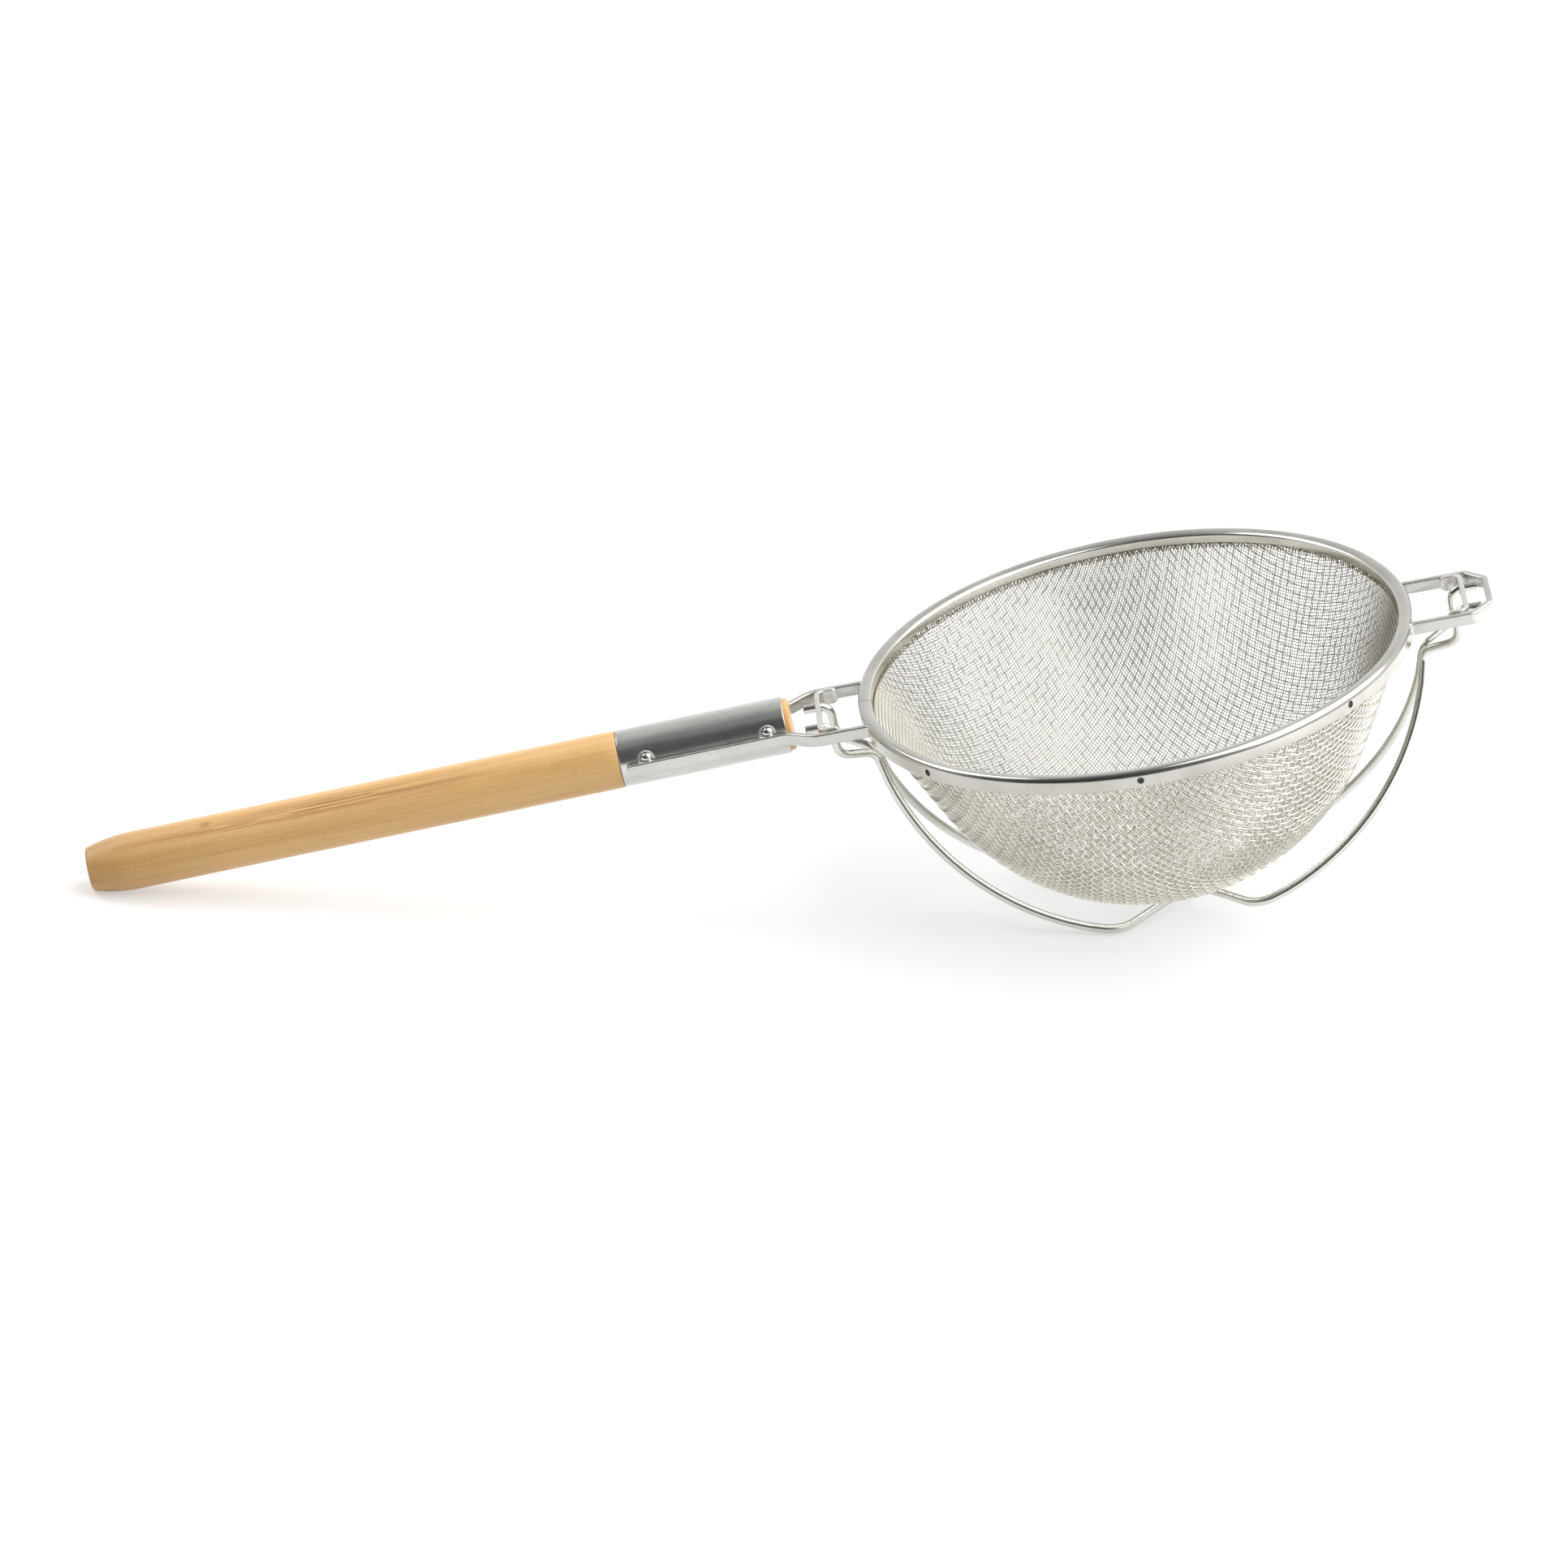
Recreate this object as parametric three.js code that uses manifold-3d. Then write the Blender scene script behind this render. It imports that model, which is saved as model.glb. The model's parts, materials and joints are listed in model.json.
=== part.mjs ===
// Round double-mesh kitchen strainer with a turned wooden handle and a bent-wire cradle.
// Millimetres, +Z up. X runs along the handle: the handle end is at -X and the hook at +X.
//
// The pieces are laid out in the rim's own frame: the bowl's axis is Z and the middle of the frame
// band's height is z = 0. The whole strainer is then pitched until it lies as it does on a table,
// on the two cradle feet nearest the handle and on the handle's tip.

import * as THREE from 'three';
import { mergeVertices } from 'three/addons/utils/BufferGeometryUtils.js';
import Module from 'manifold-3d';

const wasm = await Module();
wasm.setup();

// Clearance between pieces that touch on the real strainer.
const FIT_GAP = 0.3;

// Rim: a sheet rolled over into a channel that is open at the bottom.
const RIM_RADIUS = 130;
const RIM_SHEET = 0.7;
const RIM_SKIRT = 5.9;
const RIM_ARCH = 2.3;
const RIM_BELOW_BAND = 0.4;
const RIM_LIP = 3.4;
const RIM_SEAM = 0.5;
const RIM_HOLE_RADIUS = 1.5;
const RIM_HOLES_PER_SIDE = 3;
const RIM_HOLE_PITCH = THREE.MathUtils.degToRad(48.6);
const RIM_HOLE_MIDDLE = THREE.MathUtils.degToRad(93);

// Frame band: one flat strip that runs from the ferrule, round inside the rim and out to the hook.
const BAND_THICK = 3;
const BAND_HEIGHT = 6;
const BAND_CORNER = 4;
const HANDLE_LEG_Y = 24.3;
const HANDLE_JOG = 12;
const HOOK_LEG_Y = 22.6;
const HOOK_LEG_PAST_CLIP = 4;
const HOOK_BAR_GAP = 4.1;
const HOOK_BAR_Y = 13;

// Bowl: two pressed mesh skins, a leaning wall above a round cap.
const OUTER_MESH_THICK = 0.7;
const INNER_MESH_THICK = 0.4;
const BOWL_DEPTH = 114;
const BOWL_CAP_INSET = 12.4;
const BOWL_FLANGE_TOP = 2.1;
const BOWL_FLANGE_BOTTOM = -2;

// Plain grid of openings in both skins, which stands for the gaps between the woven wires.
const GRID_ACROSS = 10;
const GRID_BAR = 6;
const GRID_TURN = THREE.MathUtils.degToRad(45);
const GRID_BELOW_RIM = 8;

// Handle and ferrule, on an axis that droops a little from the rim.
const HANDLE_DROOP = THREE.MathUtils.degToRad(1.39);
const HANDLE_RADIUS = 13.4;
const HANDLE_GRIP = 252.4;
const HANDLE_TIP_LENGTH = 22;
const HANDLE_TIP_CURVE = 75;
const HANDLE_TIP_EDGE = 2;
const HANDLE_NOSE = 2.6;
const HANDLE_NOSE_CHAMFER = 1.4;
const HANDLE_NOSE_GAP = 5.8;
const FERRULE_RADIUS = 13.3;
const FERRULE_SHEET = 0.8;
const FERRULE_LENGTH = 78.6;
const BAND_BACK_INSET = 3;

// Nails that hold the handle in the ferrule, beside the band's upper edge.
const NAIL_INSET_BACK = 12.5;
const NAIL_INSET_FRONT = 8.8;
const NAIL_HEAD_RADIUS = 2.1;
const NAIL_HEAD_HEIGHT = 1.3;
const NAIL_SHANK_RADIUS = 0.9;
const NAIL_LENGTH = 9;

// Clips: sheet brackets between the band's legs, with two holes for the cradle wires.
const CLIP_SHEET = 2.4;
const CLIP_HEIGHT = 7.5;
const CLIP_TAB = 8;
const CLIP_CORNER = 2.5;
const RIM_TO_HANDLE_CLIP = 17.2;
const RIM_TO_HOOK_CLIP = 23;

// Cradle: two bent wires that cross under the bowl.
const WIRE_RADIUS = 2.1;
const WIRE_HOLE_Y = 11.3;
const WIRE_STUB = 6;
const WIRE_TURN = 4.2;
const WIRE_DROP = 15.4;
const WIRE_DROP_TURN = 6;
const WIRE_RIM_INSET = 17;
const WIRE_RIM_DROP = 21.5;
const WIRE_RIM_TURN = 7;
const WIRE_FOOT_X = 32.5;
const WIRE_FOOT_Y = 31;
const WIRE_FOOT_TURN = 12;
const WIRE_CROSS_TURN = 40;

// Facet counts.
const RING_SIDES = 60;
const CAP_STEPS = 7;
const ARCH_STEPS = 6;
const ROD_SIDES = 28;
const NAIL_SIDES = 12;
const WIRE_SIDES = 8;
const STRAND_STEPS = 14;
const TURN_STEP = THREE.MathUtils.degToRad(20);
const STRAIGHT = THREE.MathUtils.degToRad(0.1);
const WELD_DISTANCE = 1e-4;

const wood = new THREE.MeshStandardMaterial({ color: 0xd2a468, roughness: 0.55, metalness: 0 });
const bright = new THREE.MeshStandardMaterial({ color: 0xc9c8c3, roughness: 0.28, metalness: 1 });
const satin = new THREE.MeshStandardMaterial({ color: 0xc4c4bf, roughness: 0.4, metalness: 1 });
const tinned = new THREE.MeshStandardMaterial({ color: 0xcfcbbe, roughness: 0.45, metalness: 1 });

// Levels and radii that follow from the sizes above.
const bandTop = BAND_HEIGHT / 2;
const skirtBottom = -bandTop - RIM_BELOW_BAND;
const archSpring = skirtBottom + RIM_SKIRT;
const bandOuter = RIM_RADIUS - RIM_SHEET - FIT_GAP;
const bandMiddle = bandOuter - BAND_THICK / 2;
const outerFlange = bandOuter - BAND_THICK - FIT_GAP;
const innerFlange = outerFlange - OUTER_MESH_THICK - FIT_GAP;
const lipOuter = innerFlange - INNER_MESH_THICK - FIT_GAP;
const lipInner = lipOuter - RIM_SHEET;
const tenonRadius = FERRULE_RADIUS - FERRULE_SHEET - FIT_GAP;
const ferruleLegY = FERRULE_RADIUS + FIT_GAP + BAND_THICK / 2;
const bowlCapRadius = outerFlange - BOWL_CAP_INSET;

// Places along X, from the rim outwards. The webs' places are those of their faces on the bowl's side.
const handleWebX = -RIM_RADIUS - RIM_TO_HANDLE_CLIP;
const hookWebX = RIM_RADIUS + RIM_TO_HOOK_CLIP;
const hookLegEnd = hookWebX + HOOK_LEG_PAST_CLIP;
const hookBarX = hookWebX + CLIP_SHEET + WIRE_STUB + HOOK_BAR_GAP;
const noseX = handleWebX - CLIP_SHEET - WIRE_STUB - HANDLE_NOSE_GAP;
const ferruleFrontX = noseX - HANDLE_NOSE;
const ferruleBackX = ferruleFrontX - FERRULE_LENGTH;
const handleTipX = ferruleBackX - HANDLE_GRIP;

// Solids from closed geometries, and back.
function toSolid(geometry) {
  const bare = geometry.index ? geometry.toNonIndexed() : geometry.clone();
  bare.deleteAttribute('normal');
  bare.deleteAttribute('uv');
  const merged = mergeVertices(bare, WELD_DISTANCE);
  const triangles = [];
  for (let i = 0; i < merged.index.count; i += 3) {
    const corners = [0, 1, 2].map((k) => merged.index.getX(i + k));
    if (new Set(corners).size === 3) triangles.push(...corners);
  }
  return new wasm.Manifold(new wasm.Mesh({
    numProp: 3,
    vertProperties: new Float32Array(merged.attributes.position.array),
    triVerts: new Uint32Array(triangles),
  }));
}

function toGeometry(solid) {
  const mesh = solid.getMesh();
  const geometry = new THREE.BufferGeometry();
  geometry.setAttribute('position', new THREE.BufferAttribute(mesh.vertProperties, 3));
  geometry.setIndex(new THREE.BufferAttribute(mesh.triVerts, 1));
  geometry.computeVertexNormals();
  return geometry;
}

function cut(geometry, cutters) {
  let solid = toSolid(geometry);
  for (const cutter of cutters) solid = solid.subtract(toSolid(cutter));
  return toGeometry(solid);
}

function named(name, geometry, material) {
  const mesh = new THREE.Mesh(geometry, material);
  mesh.name = name;
  return mesh;
}

// A turned shape about Z from [radius, height] pairs, and the same about X.
function turned(profile, sides) {
  const points = profile.map(([r, z]) => new THREE.Vector2(Math.max(r, 0), z));
  return new THREE.LatheGeometry(points, sides).rotateX(Math.PI / 2);
}

function turnedAlongX(profile, sides) {
  return turned(profile, sides).rotateY(Math.PI / 2);
}

function arcPoints(centreR, centreZ, radiusR, radiusZ, from, to, steps) {
  return Array.from({ length: steps + 1 }, (_, i) => {
    const angle = from + ((to - from) * i) / steps;
    return [centreR + radiusR * Math.cos(angle), centreZ + radiusZ * Math.sin(angle)];
  });
}

// A rod across the part, for drilling round holes.
function drill(from, to, radius, sides) {
  const axis = new THREE.Vector3().subVectors(to, from);
  const rod = new THREE.CylinderGeometry(radius, radius, axis.length(), sides);
  rod.applyQuaternion(new THREE.Quaternion().setFromUnitVectors(
    new THREE.Vector3(0, 1, 0), axis.clone().normalize()));
  const middle = new THREE.Vector3().addVectors(from, to).multiplyScalar(0.5);
  return rod.translate(middle.x, middle.y, middle.z);
}

// Corners of a bent strip or wire: each is { at, turn }, where turn is the bend's radius.
function bentPath(corners) {
  const points = [];
  corners.forEach(({ at, turn }, i) => {
    const before = corners[i - 1] ?? corners[i];
    const after = corners[i + 1] ?? corners[i];
    const into = new THREE.Vector3().subVectors(at, before.at).normalize();
    const out = new THREE.Vector3().subVectors(after.at, at).normalize();
    const angle = into.angleTo(out);
    if (!turn || angle < STRAIGHT) {
      points.push(at.clone());
      return;
    }
    const reach = turn * Math.tan(angle / 2);
    const steps = Math.max(2, Math.ceil(angle / TURN_STEP));
    const start = at.clone().addScaledVector(into, -reach);
    const side = out.clone().addScaledVector(into, -out.dot(into)).normalize();
    const centre = start.clone().addScaledVector(side, turn);
    for (let k = 0; k <= steps; k += 1) {
      const swing = (angle * k) / steps;
      points.push(centre.clone()
        .addScaledVector(side, -turn * Math.cos(swing))
        .addScaledVector(into, turn * Math.sin(swing)));
    }
  });
  return points;
}

// Rim: skirt, rounded top and short inner lip, with slots for the band's legs, holes and a seam.
function rimGeometry() {
  const archCentre = (RIM_RADIUS + lipInner) / 2;
  const archReach = RIM_RADIUS - archCentre;
  const lipBottom = archSpring - RIM_LIP;
  const outside = arcPoints(archCentre, archSpring, archReach, RIM_ARCH, 0, Math.PI, ARCH_STEPS);
  const inside = arcPoints(archCentre, archSpring, archReach - RIM_SHEET, RIM_ARCH - RIM_SHEET,
    Math.PI, 0, ARCH_STEPS);
  const profile = [
    [RIM_RADIUS, skirtBottom],
    ...outside,
    [lipInner, lipBottom],
    [lipOuter, lipBottom],
    ...inside,
    [RIM_RADIUS - RIM_SHEET, skirtBottom],
    [RIM_RADIUS, skirtBottom],
  ];
  const cutters = [seamCutter()];
  for (const side of [-1, 1]) {
    cutters.push(slotCutter(-1, side, HANDLE_LEG_Y));
    cutters.push(slotCutter(1, side, HOOK_LEG_Y));
    for (let k = 0; k < RIM_HOLES_PER_SIDE; k += 1) {
      const step = k - (RIM_HOLES_PER_SIDE - 1) / 2;
      const angle = side * (RIM_HOLE_MIDDLE + step * RIM_HOLE_PITCH);
      const outward = new THREE.Vector3(Math.cos(angle), Math.sin(angle), 0);
      const from = outward.clone().multiplyScalar(bandOuter);
      const to = outward.clone().multiplyScalar(RIM_RADIUS + RIM_SHEET);
      cutters.push(drill(from, to, RIM_HOLE_RADIUS, NAIL_SIDES));
    }
  }
  return cut(turned(profile, RING_SIDES), cutters);
}

function seamCutter() {
  const across = 2 * (RIM_RADIUS - lipInner);
  const tall = 2 * (RIM_SKIRT + RIM_ARCH);
  return new THREE.BoxGeometry(across, RIM_SEAM, tall).translate(-(RIM_RADIUS + lipInner) / 2, 0, 0);
}

// A notch in the skirt, open below, where a leg of the band bends outward into the channel.
function slotCutter(end, side, legY) {
  const skirtX = Math.sqrt(RIM_RADIUS ** 2 - legY ** 2);
  const inner = legY - BAND_THICK / 2 - FIT_GAP;
  const outer = legY + BAND_THICK / 2 + BAND_CORNER;
  const top = bandTop + FIT_GAP;
  const bottom = skirtBottom - RIM_SHEET;
  const deep = 2 * (RIM_RADIUS - bandMiddle);
  return new THREE.BoxGeometry(deep, outer - inner, top - bottom)
    .translate(end * skirtX, (side * (inner + outer)) / 2, (top + bottom) / 2);
}

// Frame band: the plan line of its middle, offset both ways and raised to its height.
function bandLine() {
  const hoopX = (y) => Math.sqrt(bandMiddle ** 2 - y ** 2);
  const start = ferruleBackX + BAND_BACK_INSET;
  const corner = (x, y, turn = 0) => ({ at: new THREE.Vector3(x, y, 0), turn });
  const half = (side) => [
    corner(start, side * ferruleLegY),
    corner(ferruleFrontX, side * ferruleLegY, BAND_CORNER),
    corner(ferruleFrontX + HANDLE_JOG, side * HANDLE_LEG_Y, BAND_CORNER),
    corner(-hoopX(HANDLE_LEG_Y), side * HANDLE_LEG_Y, BAND_CORNER),
    ...hoopCorners(side),
    corner(hoopX(HOOK_LEG_Y), side * HOOK_LEG_Y, BAND_CORNER),
    corner(hookLegEnd, side * HOOK_LEG_Y, BAND_CORNER),
    corner(hookBarX, side * HOOK_BAR_Y, BAND_CORNER),
  ];
  return bentPath([...half(-1), ...half(1).reverse()]);
}

// Hoop corners on one side, on the same facets as the rim, clear of the bends at both ends.
function hoopCorners(side) {
  const step = (2 * Math.PI) / RING_SIDES;
  const bend = (BAND_CORNER + BAND_THICK) / bandMiddle;
  const first = Math.PI - Math.asin(HANDLE_LEG_Y / bandMiddle) - bend;
  const last = Math.asin(HOOK_LEG_Y / bandMiddle) + bend;
  const corners = [];
  for (let k = Math.floor(first / step); k * step > last; k -= 1) {
    const x = bandMiddle * Math.cos(k * step);
    const y = side * bandMiddle * Math.sin(k * step);
    corners.push({ at: new THREE.Vector3(x, y, 0), turn: 0 });
  }
  return corners;
}

function offsetLine(points, distance) {
  return points.map((point, i) => {
    const before = points[Math.max(i - 1, 0)];
    const after = points[Math.min(i + 1, points.length - 1)];
    const into = new THREE.Vector3().subVectors(point, before).normalize();
    const out = new THREE.Vector3().subVectors(after, point).normalize();
    const along = new THREE.Vector3().addVectors(into, out).normalize();
    const miter = distance / Math.max(along.dot(into), along.dot(out));
    return new THREE.Vector2(point.x - along.y * miter, point.y + along.x * miter);
  });
}

function bandGeometry() {
  const line = bandLine();
  const left = offsetLine(line, BAND_THICK / 2);
  const right = offsetLine(line, -BAND_THICK / 2);
  const outline = new THREE.Shape([...right, ...left.reverse()]);
  const geometry = new THREE.ExtrudeGeometry(outline, { depth: BAND_HEIGHT, bevelEnabled: false });
  geometry.translate(0, 0, -BAND_HEIGHT / 2);
  const position = geometry.attributes.position;
  for (let i = 0; i < position.count; i += 1) {
    const past = Math.max(handleWebX - position.getX(i), 0);
    position.setZ(i, position.getZ(i) - past * Math.tan(HANDLE_DROOP));
  }
  return geometry;
}

// One mesh skin of the bowl: a short upright flange, a leaning wall and a round cap.
function bowlLine(inset) {
  const flange = outerFlange - inset;
  const capRadius = bowlCapRadius - inset;
  const capCentre = bowlCapRadius - BOWL_DEPTH;
  const reach = Math.hypot(outerFlange, BOWL_FLANGE_BOTTOM - capCentre);
  const lean = Math.acos(bowlCapRadius / reach)
    - Math.atan2(BOWL_FLANGE_BOTTOM - capCentre, outerFlange);
  const wallTop = capCentre - (capRadius - flange * Math.cos(lean)) / Math.sin(lean);
  return [
    ...arcPoints(0, capCentre, capRadius, capRadius, -Math.PI / 2, -lean, CAP_STEPS),
    [flange, wallTop],
    [flange, BOWL_FLANGE_TOP],
  ];
}

function skinGeometry(inset, thickness) {
  const profile = [...bowlLine(inset), ...bowlLine(inset + thickness).reverse()];
  const skin = toSolid(turned(profile, RING_SIDES));
  return toGeometry(skin.subtract(gridOpenings()));
}

// Cells of a square grid laid over the bowl from its bottom, equal along the bowl's meridians through
// the grid's two middle lines. They end level, below the rim.
function gridOpenings() {
  const pitch = Math.PI / GRID_ACROSS;
  const places = Array.from({ length: GRID_ACROSS }, (_, i) => (i - (GRID_ACROSS - 1) / 2) * pitch);
  const cells = places.flatMap((u) => places
    .filter((v) => Math.hypot(u, v) < Math.PI / 2)
    .map((v) => toSolid(gridCell(u, v, pitch - GRID_BAR / bowlCapRadius))));
  const wide = 4 * RIM_RADIUS;
  const above = new THREE.BoxGeometry(wide, wide, wide).translate(0, 0, wide / 2 - GRID_BELOW_RIM);
  return wasm.Manifold.union(cells).subtract(toSolid(above));
}

// One cell as a block that points at the middle of the cap. Its place and size are angles.
function gridCell(u, v, open) {
  const block = new THREE.BoxGeometry(open, open, 1);
  const position = block.attributes.position;
  const corner = new THREE.Vector3();
  for (let i = 0; i < position.count; i += 1) {
    corner.fromBufferAttribute(position, i);
    const away = corner.z > 0 ? bowlCapRadius / 2 : 2 * bowlCapRadius;
    const tilt = Math.hypot(u + corner.x, v + corner.y);
    const heading = Math.atan2(v + corner.y, u + corner.x) + GRID_TURN;
    corner.setFromSphericalCoords(away, tilt, heading);
    position.setXYZ(i, corner.z, corner.x, bowlCapRadius - BOWL_DEPTH - corner.y);
  }
  return block;
}

// Handle: a straight round grip, eased at the tip, with a tenon that runs through the ferrule.
function handleGeometry() {
  const rise = (d) => HANDLE_TIP_CURVE - Math.sqrt(HANDLE_TIP_CURVE ** 2 - d ** 2);
  const ease = Array.from({ length: ARCH_STEPS + 1 }, (_, i) => {
    const back = (HANDLE_TIP_LENGTH - HANDLE_TIP_EDGE) * (1 - i / ARCH_STEPS);
    return [HANDLE_RADIUS - rise(back), handleTipX + HANDLE_TIP_LENGTH - back];
  });
  const profile = [
    [0, handleTipX],
    [ease[0][0] - HANDLE_TIP_EDGE, handleTipX],
    ...ease,
    [HANDLE_RADIUS, ferruleBackX - FIT_GAP],
    [tenonRadius, ferruleBackX - FIT_GAP],
    [tenonRadius, noseX - HANDLE_NOSE_CHAMFER],
    [tenonRadius - HANDLE_NOSE_CHAMFER, noseX],
    [0, noseX],
  ];
  return turnedAlongX(profile, ROD_SIDES);
}

function ferruleGeometry() {
  const inner = FERRULE_RADIUS - FERRULE_SHEET;
  return turnedAlongX([
    [FERRULE_RADIUS, ferruleBackX],
    [FERRULE_RADIUS, ferruleFrontX],
    [inner, ferruleFrontX],
    [inner, ferruleBackX],
    [FERRULE_RADIUS, ferruleBackX],
  ], ROD_SIDES);
}

// Nails: each head sits on the ferrule just above the band's upper edge.
function nailPlaces() {
  const lift = Math.asin((bandTop + FIT_GAP + NAIL_HEAD_RADIUS) / FERRULE_RADIUS);
  const ends = { back: ferruleBackX + NAIL_INSET_BACK, front: ferruleFrontX - NAIL_INSET_FRONT };
  return [['near', -1], ['far', 1]].flatMap(([sideName, side]) => Object.entries(ends).map(([end, x]) => ({
    name: `nail_${sideName}_${end}`,
    x,
    outward: new THREE.Vector3(0, side * Math.cos(lift), Math.sin(lift)),
  })));
}

function nailGeometry() {
  const dome = arcPoints(0, 0, NAIL_HEAD_RADIUS, NAIL_HEAD_HEIGHT, 0, Math.PI / 2, ARCH_STEPS / 2);
  const profile = [
    [0, -NAIL_LENGTH],
    [NAIL_SHANK_RADIUS, -NAIL_LENGTH + NAIL_SHANK_RADIUS],
    [NAIL_SHANK_RADIUS, 0],
    ...dome,
  ];
  return turned(profile, NAIL_SIDES);
}

function nailHole({ x, outward }) {
  const from = outward.clone().multiplyScalar(FERRULE_RADIUS - NAIL_LENGTH - FIT_GAP).setX(x);
  const to = outward.clone().multiplyScalar(FERRULE_RADIUS + NAIL_HEAD_HEIGHT).setX(x);
  return drill(from, to, NAIL_SHANK_RADIUS + FIT_GAP, NAIL_SIDES);
}

function placedNail(place) {
  const nail = named(place.name, nailGeometry(), bright);
  nail.position.copy(place.outward).multiplyScalar(FERRULE_RADIUS + FIT_GAP).setX(place.x);
  nail.quaternion.setFromUnitVectors(new THREE.Vector3(0, 0, 1), place.outward);
  return nail;
}

// Clip: a web across the gap between two legs, with a rounded tab along each leg, towards the bowl.
function clipGeometry(webFace, end, legY) {
  const wide = legY - BAND_THICK / 2 - FIT_GAP;
  const back = CLIP_SHEET;
  const front = -CLIP_TAB;
  const outline = new THREE.Shape([
    [back, -wide], [back, wide], [front, wide], [front, wide - CLIP_SHEET],
    [0, wide - CLIP_SHEET], [0, -wide + CLIP_SHEET], [front, -wide + CLIP_SHEET], [front, -wide],
  ].map(([x, y]) => new THREE.Vector2(x, y)));
  const channel = new THREE.ExtrudeGeometry(outline, { depth: CLIP_HEIGHT, bevelEnabled: false });
  channel.translate(0, 0, -CLIP_HEIGHT / 2);
  const solid = toSolid(cut(channel, [-1, 1].map((side) => {
    const y = side * WIRE_HOLE_Y;
    const from = new THREE.Vector3(-CLIP_SHEET, y, 0);
    const to = new THREE.Vector3(back + CLIP_SHEET, y, 0);
    return drill(from, to, WIRE_RADIUS + FIT_GAP, NAIL_SIDES);
  }))).intersect(toSolid(clipSide(wide)));
  const geometry = toGeometry(solid);
  if (end < 0) geometry.rotateZ(Math.PI);
  return geometry.translate(webFace, 0, 0);
}

// The clip seen from the side, with round corners at the tab's end, as wide as the clip.
function clipSide(wide) {
  const tall = CLIP_HEIGHT / 2;
  const back = 2 * CLIP_SHEET;
  const front = -CLIP_TAB;
  const corners = [
    { at: new THREE.Vector3(back, -tall, 0) },
    { at: new THREE.Vector3(front, -tall, 0), turn: CLIP_CORNER },
    { at: new THREE.Vector3(front, tall, 0), turn: CLIP_CORNER },
    { at: new THREE.Vector3(back, tall, 0) },
  ];
  const outline = new THREE.Shape(bentPath(corners).map((p) => new THREE.Vector2(p.x, p.y)).reverse());
  const depth = 2 * wide + CLIP_SHEET;
  return new THREE.ExtrudeGeometry(outline, { depth, bevelEnabled: false })
    .translate(0, 0, -depth / 2)
    .rotateX(Math.PI / 2);
}

// A sweep line that rings the tube at each of its own points.
class BentLine extends THREE.Curve {
  constructor(points) {
    super();
    this.points = points;
  }

  getUtoTmapping(u) {
    return u;
  }

  getPoint(t, target = new THREE.Vector3()) {
    const place = t * (this.points.length - 1);
    const i = Math.min(Math.floor(place), this.points.length - 2);
    return target.lerpVectors(this.points[i], this.points[i + 1], place - i);
  }

  getTangent(t, target = new THREE.Vector3()) {
    const last = this.points.length - 1;
    const i = Math.round(t * last);
    const here = this.points[i];
    const before = this.points[Math.max(i - 1, 0)];
    const after = this.points[Math.min(i + 1, last)];
    const into = new THREE.Vector3().subVectors(here, before).normalize();
    const out = new THREE.Vector3().subVectors(after, here).normalize();
    return target.addVectors(into, out).normalize();
  }
}

// Cradle wires. The lower one lies flat from foot to foot, and the upper one rises over it.
const cradleX = (handleWebX + hookWebX) / 2;
const upperCross = -BOWL_DEPTH - FIT_GAP - WIRE_RADIUS;
const lowerCross = upperCross - 2 * WIRE_RADIUS - FIT_GAP;
const footZ = lowerCross;

function footPoint(end, side) {
  return new THREE.Vector3(cradleX + end * WIRE_FOOT_X, side * WIRE_FOOT_Y, footZ);
}

// One end of a wire, from its stub beyond the clip down to the foot.
function wireEnd(end, side) {
  const webX = end < 0 ? handleWebX : hookWebX;
  const uprightX = webX - end * WIRE_TURN;
  const touchY = side * (WIRE_RADIUS + FIT_GAP / 2);
  const y = side * WIRE_HOLE_Y;
  const rim = new THREE.Vector3(uprightX - end * WIRE_RIM_INSET, touchY, -WIRE_RIM_DROP);
  const foot = footPoint(end, side);
  const corners = [
    { at: new THREE.Vector3(webX + end * (CLIP_SHEET + WIRE_STUB), y, 0) },
    { at: new THREE.Vector3(uprightX, y, 0), turn: WIRE_TURN },
    { at: new THREE.Vector3(uprightX, y, -WIRE_DROP), turn: WIRE_DROP_TURN },
    { at: rim, turn: WIRE_RIM_TURN },
  ];
  for (let k = 1; k < STRAND_STEPS; k += 1) corners.push({ at: strandPoint(rim, foot, k / STRAND_STEPS) });
  corners.push({ at: foot, turn: WIRE_FOOT_TURN });
  return corners;
}

// A strand keeps round the cradle's middle on its way from the rim to the foot.
function strandPoint(rim, foot, share) {
  const middle = new THREE.Vector3(cradleX, 0, 0);
  const from = new THREE.Vector3().subVectors(rim, middle);
  const to = new THREE.Vector3().subVectors(foot, middle);
  const angle = from.angleTo(to);
  const radius = THREE.MathUtils.lerp(from.length(), to.length(), share);
  return from.clone().normalize().multiplyScalar(Math.sin((1 - share) * angle))
    .addScaledVector(to.clone().normalize(), Math.sin(share * angle))
    .multiplyScalar(radius / Math.sin(angle))
    .add(middle);
}

function wireGeometry(handleSide, crossZ) {
  const cross = { at: new THREE.Vector3(cradleX, 0, crossZ), turn: WIRE_CROSS_TURN };
  const corners = [...wireEnd(-1, handleSide), cross, ...wireEnd(1, -handleSide).reverse()];
  const line = new BentLine(bentPath(corners));
  const section = new THREE.Shape(Array.from({ length: WIRE_SIDES }, (_, i) => {
    const angle = (2 * Math.PI * i) / WIRE_SIDES;
    return new THREE.Vector2(WIRE_RADIUS * Math.cos(angle), WIRE_RADIUS * Math.sin(angle));
  }));
  return new THREE.ExtrudeGeometry(section, { steps: line.points.length - 1, extrudePath: line });
}

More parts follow.
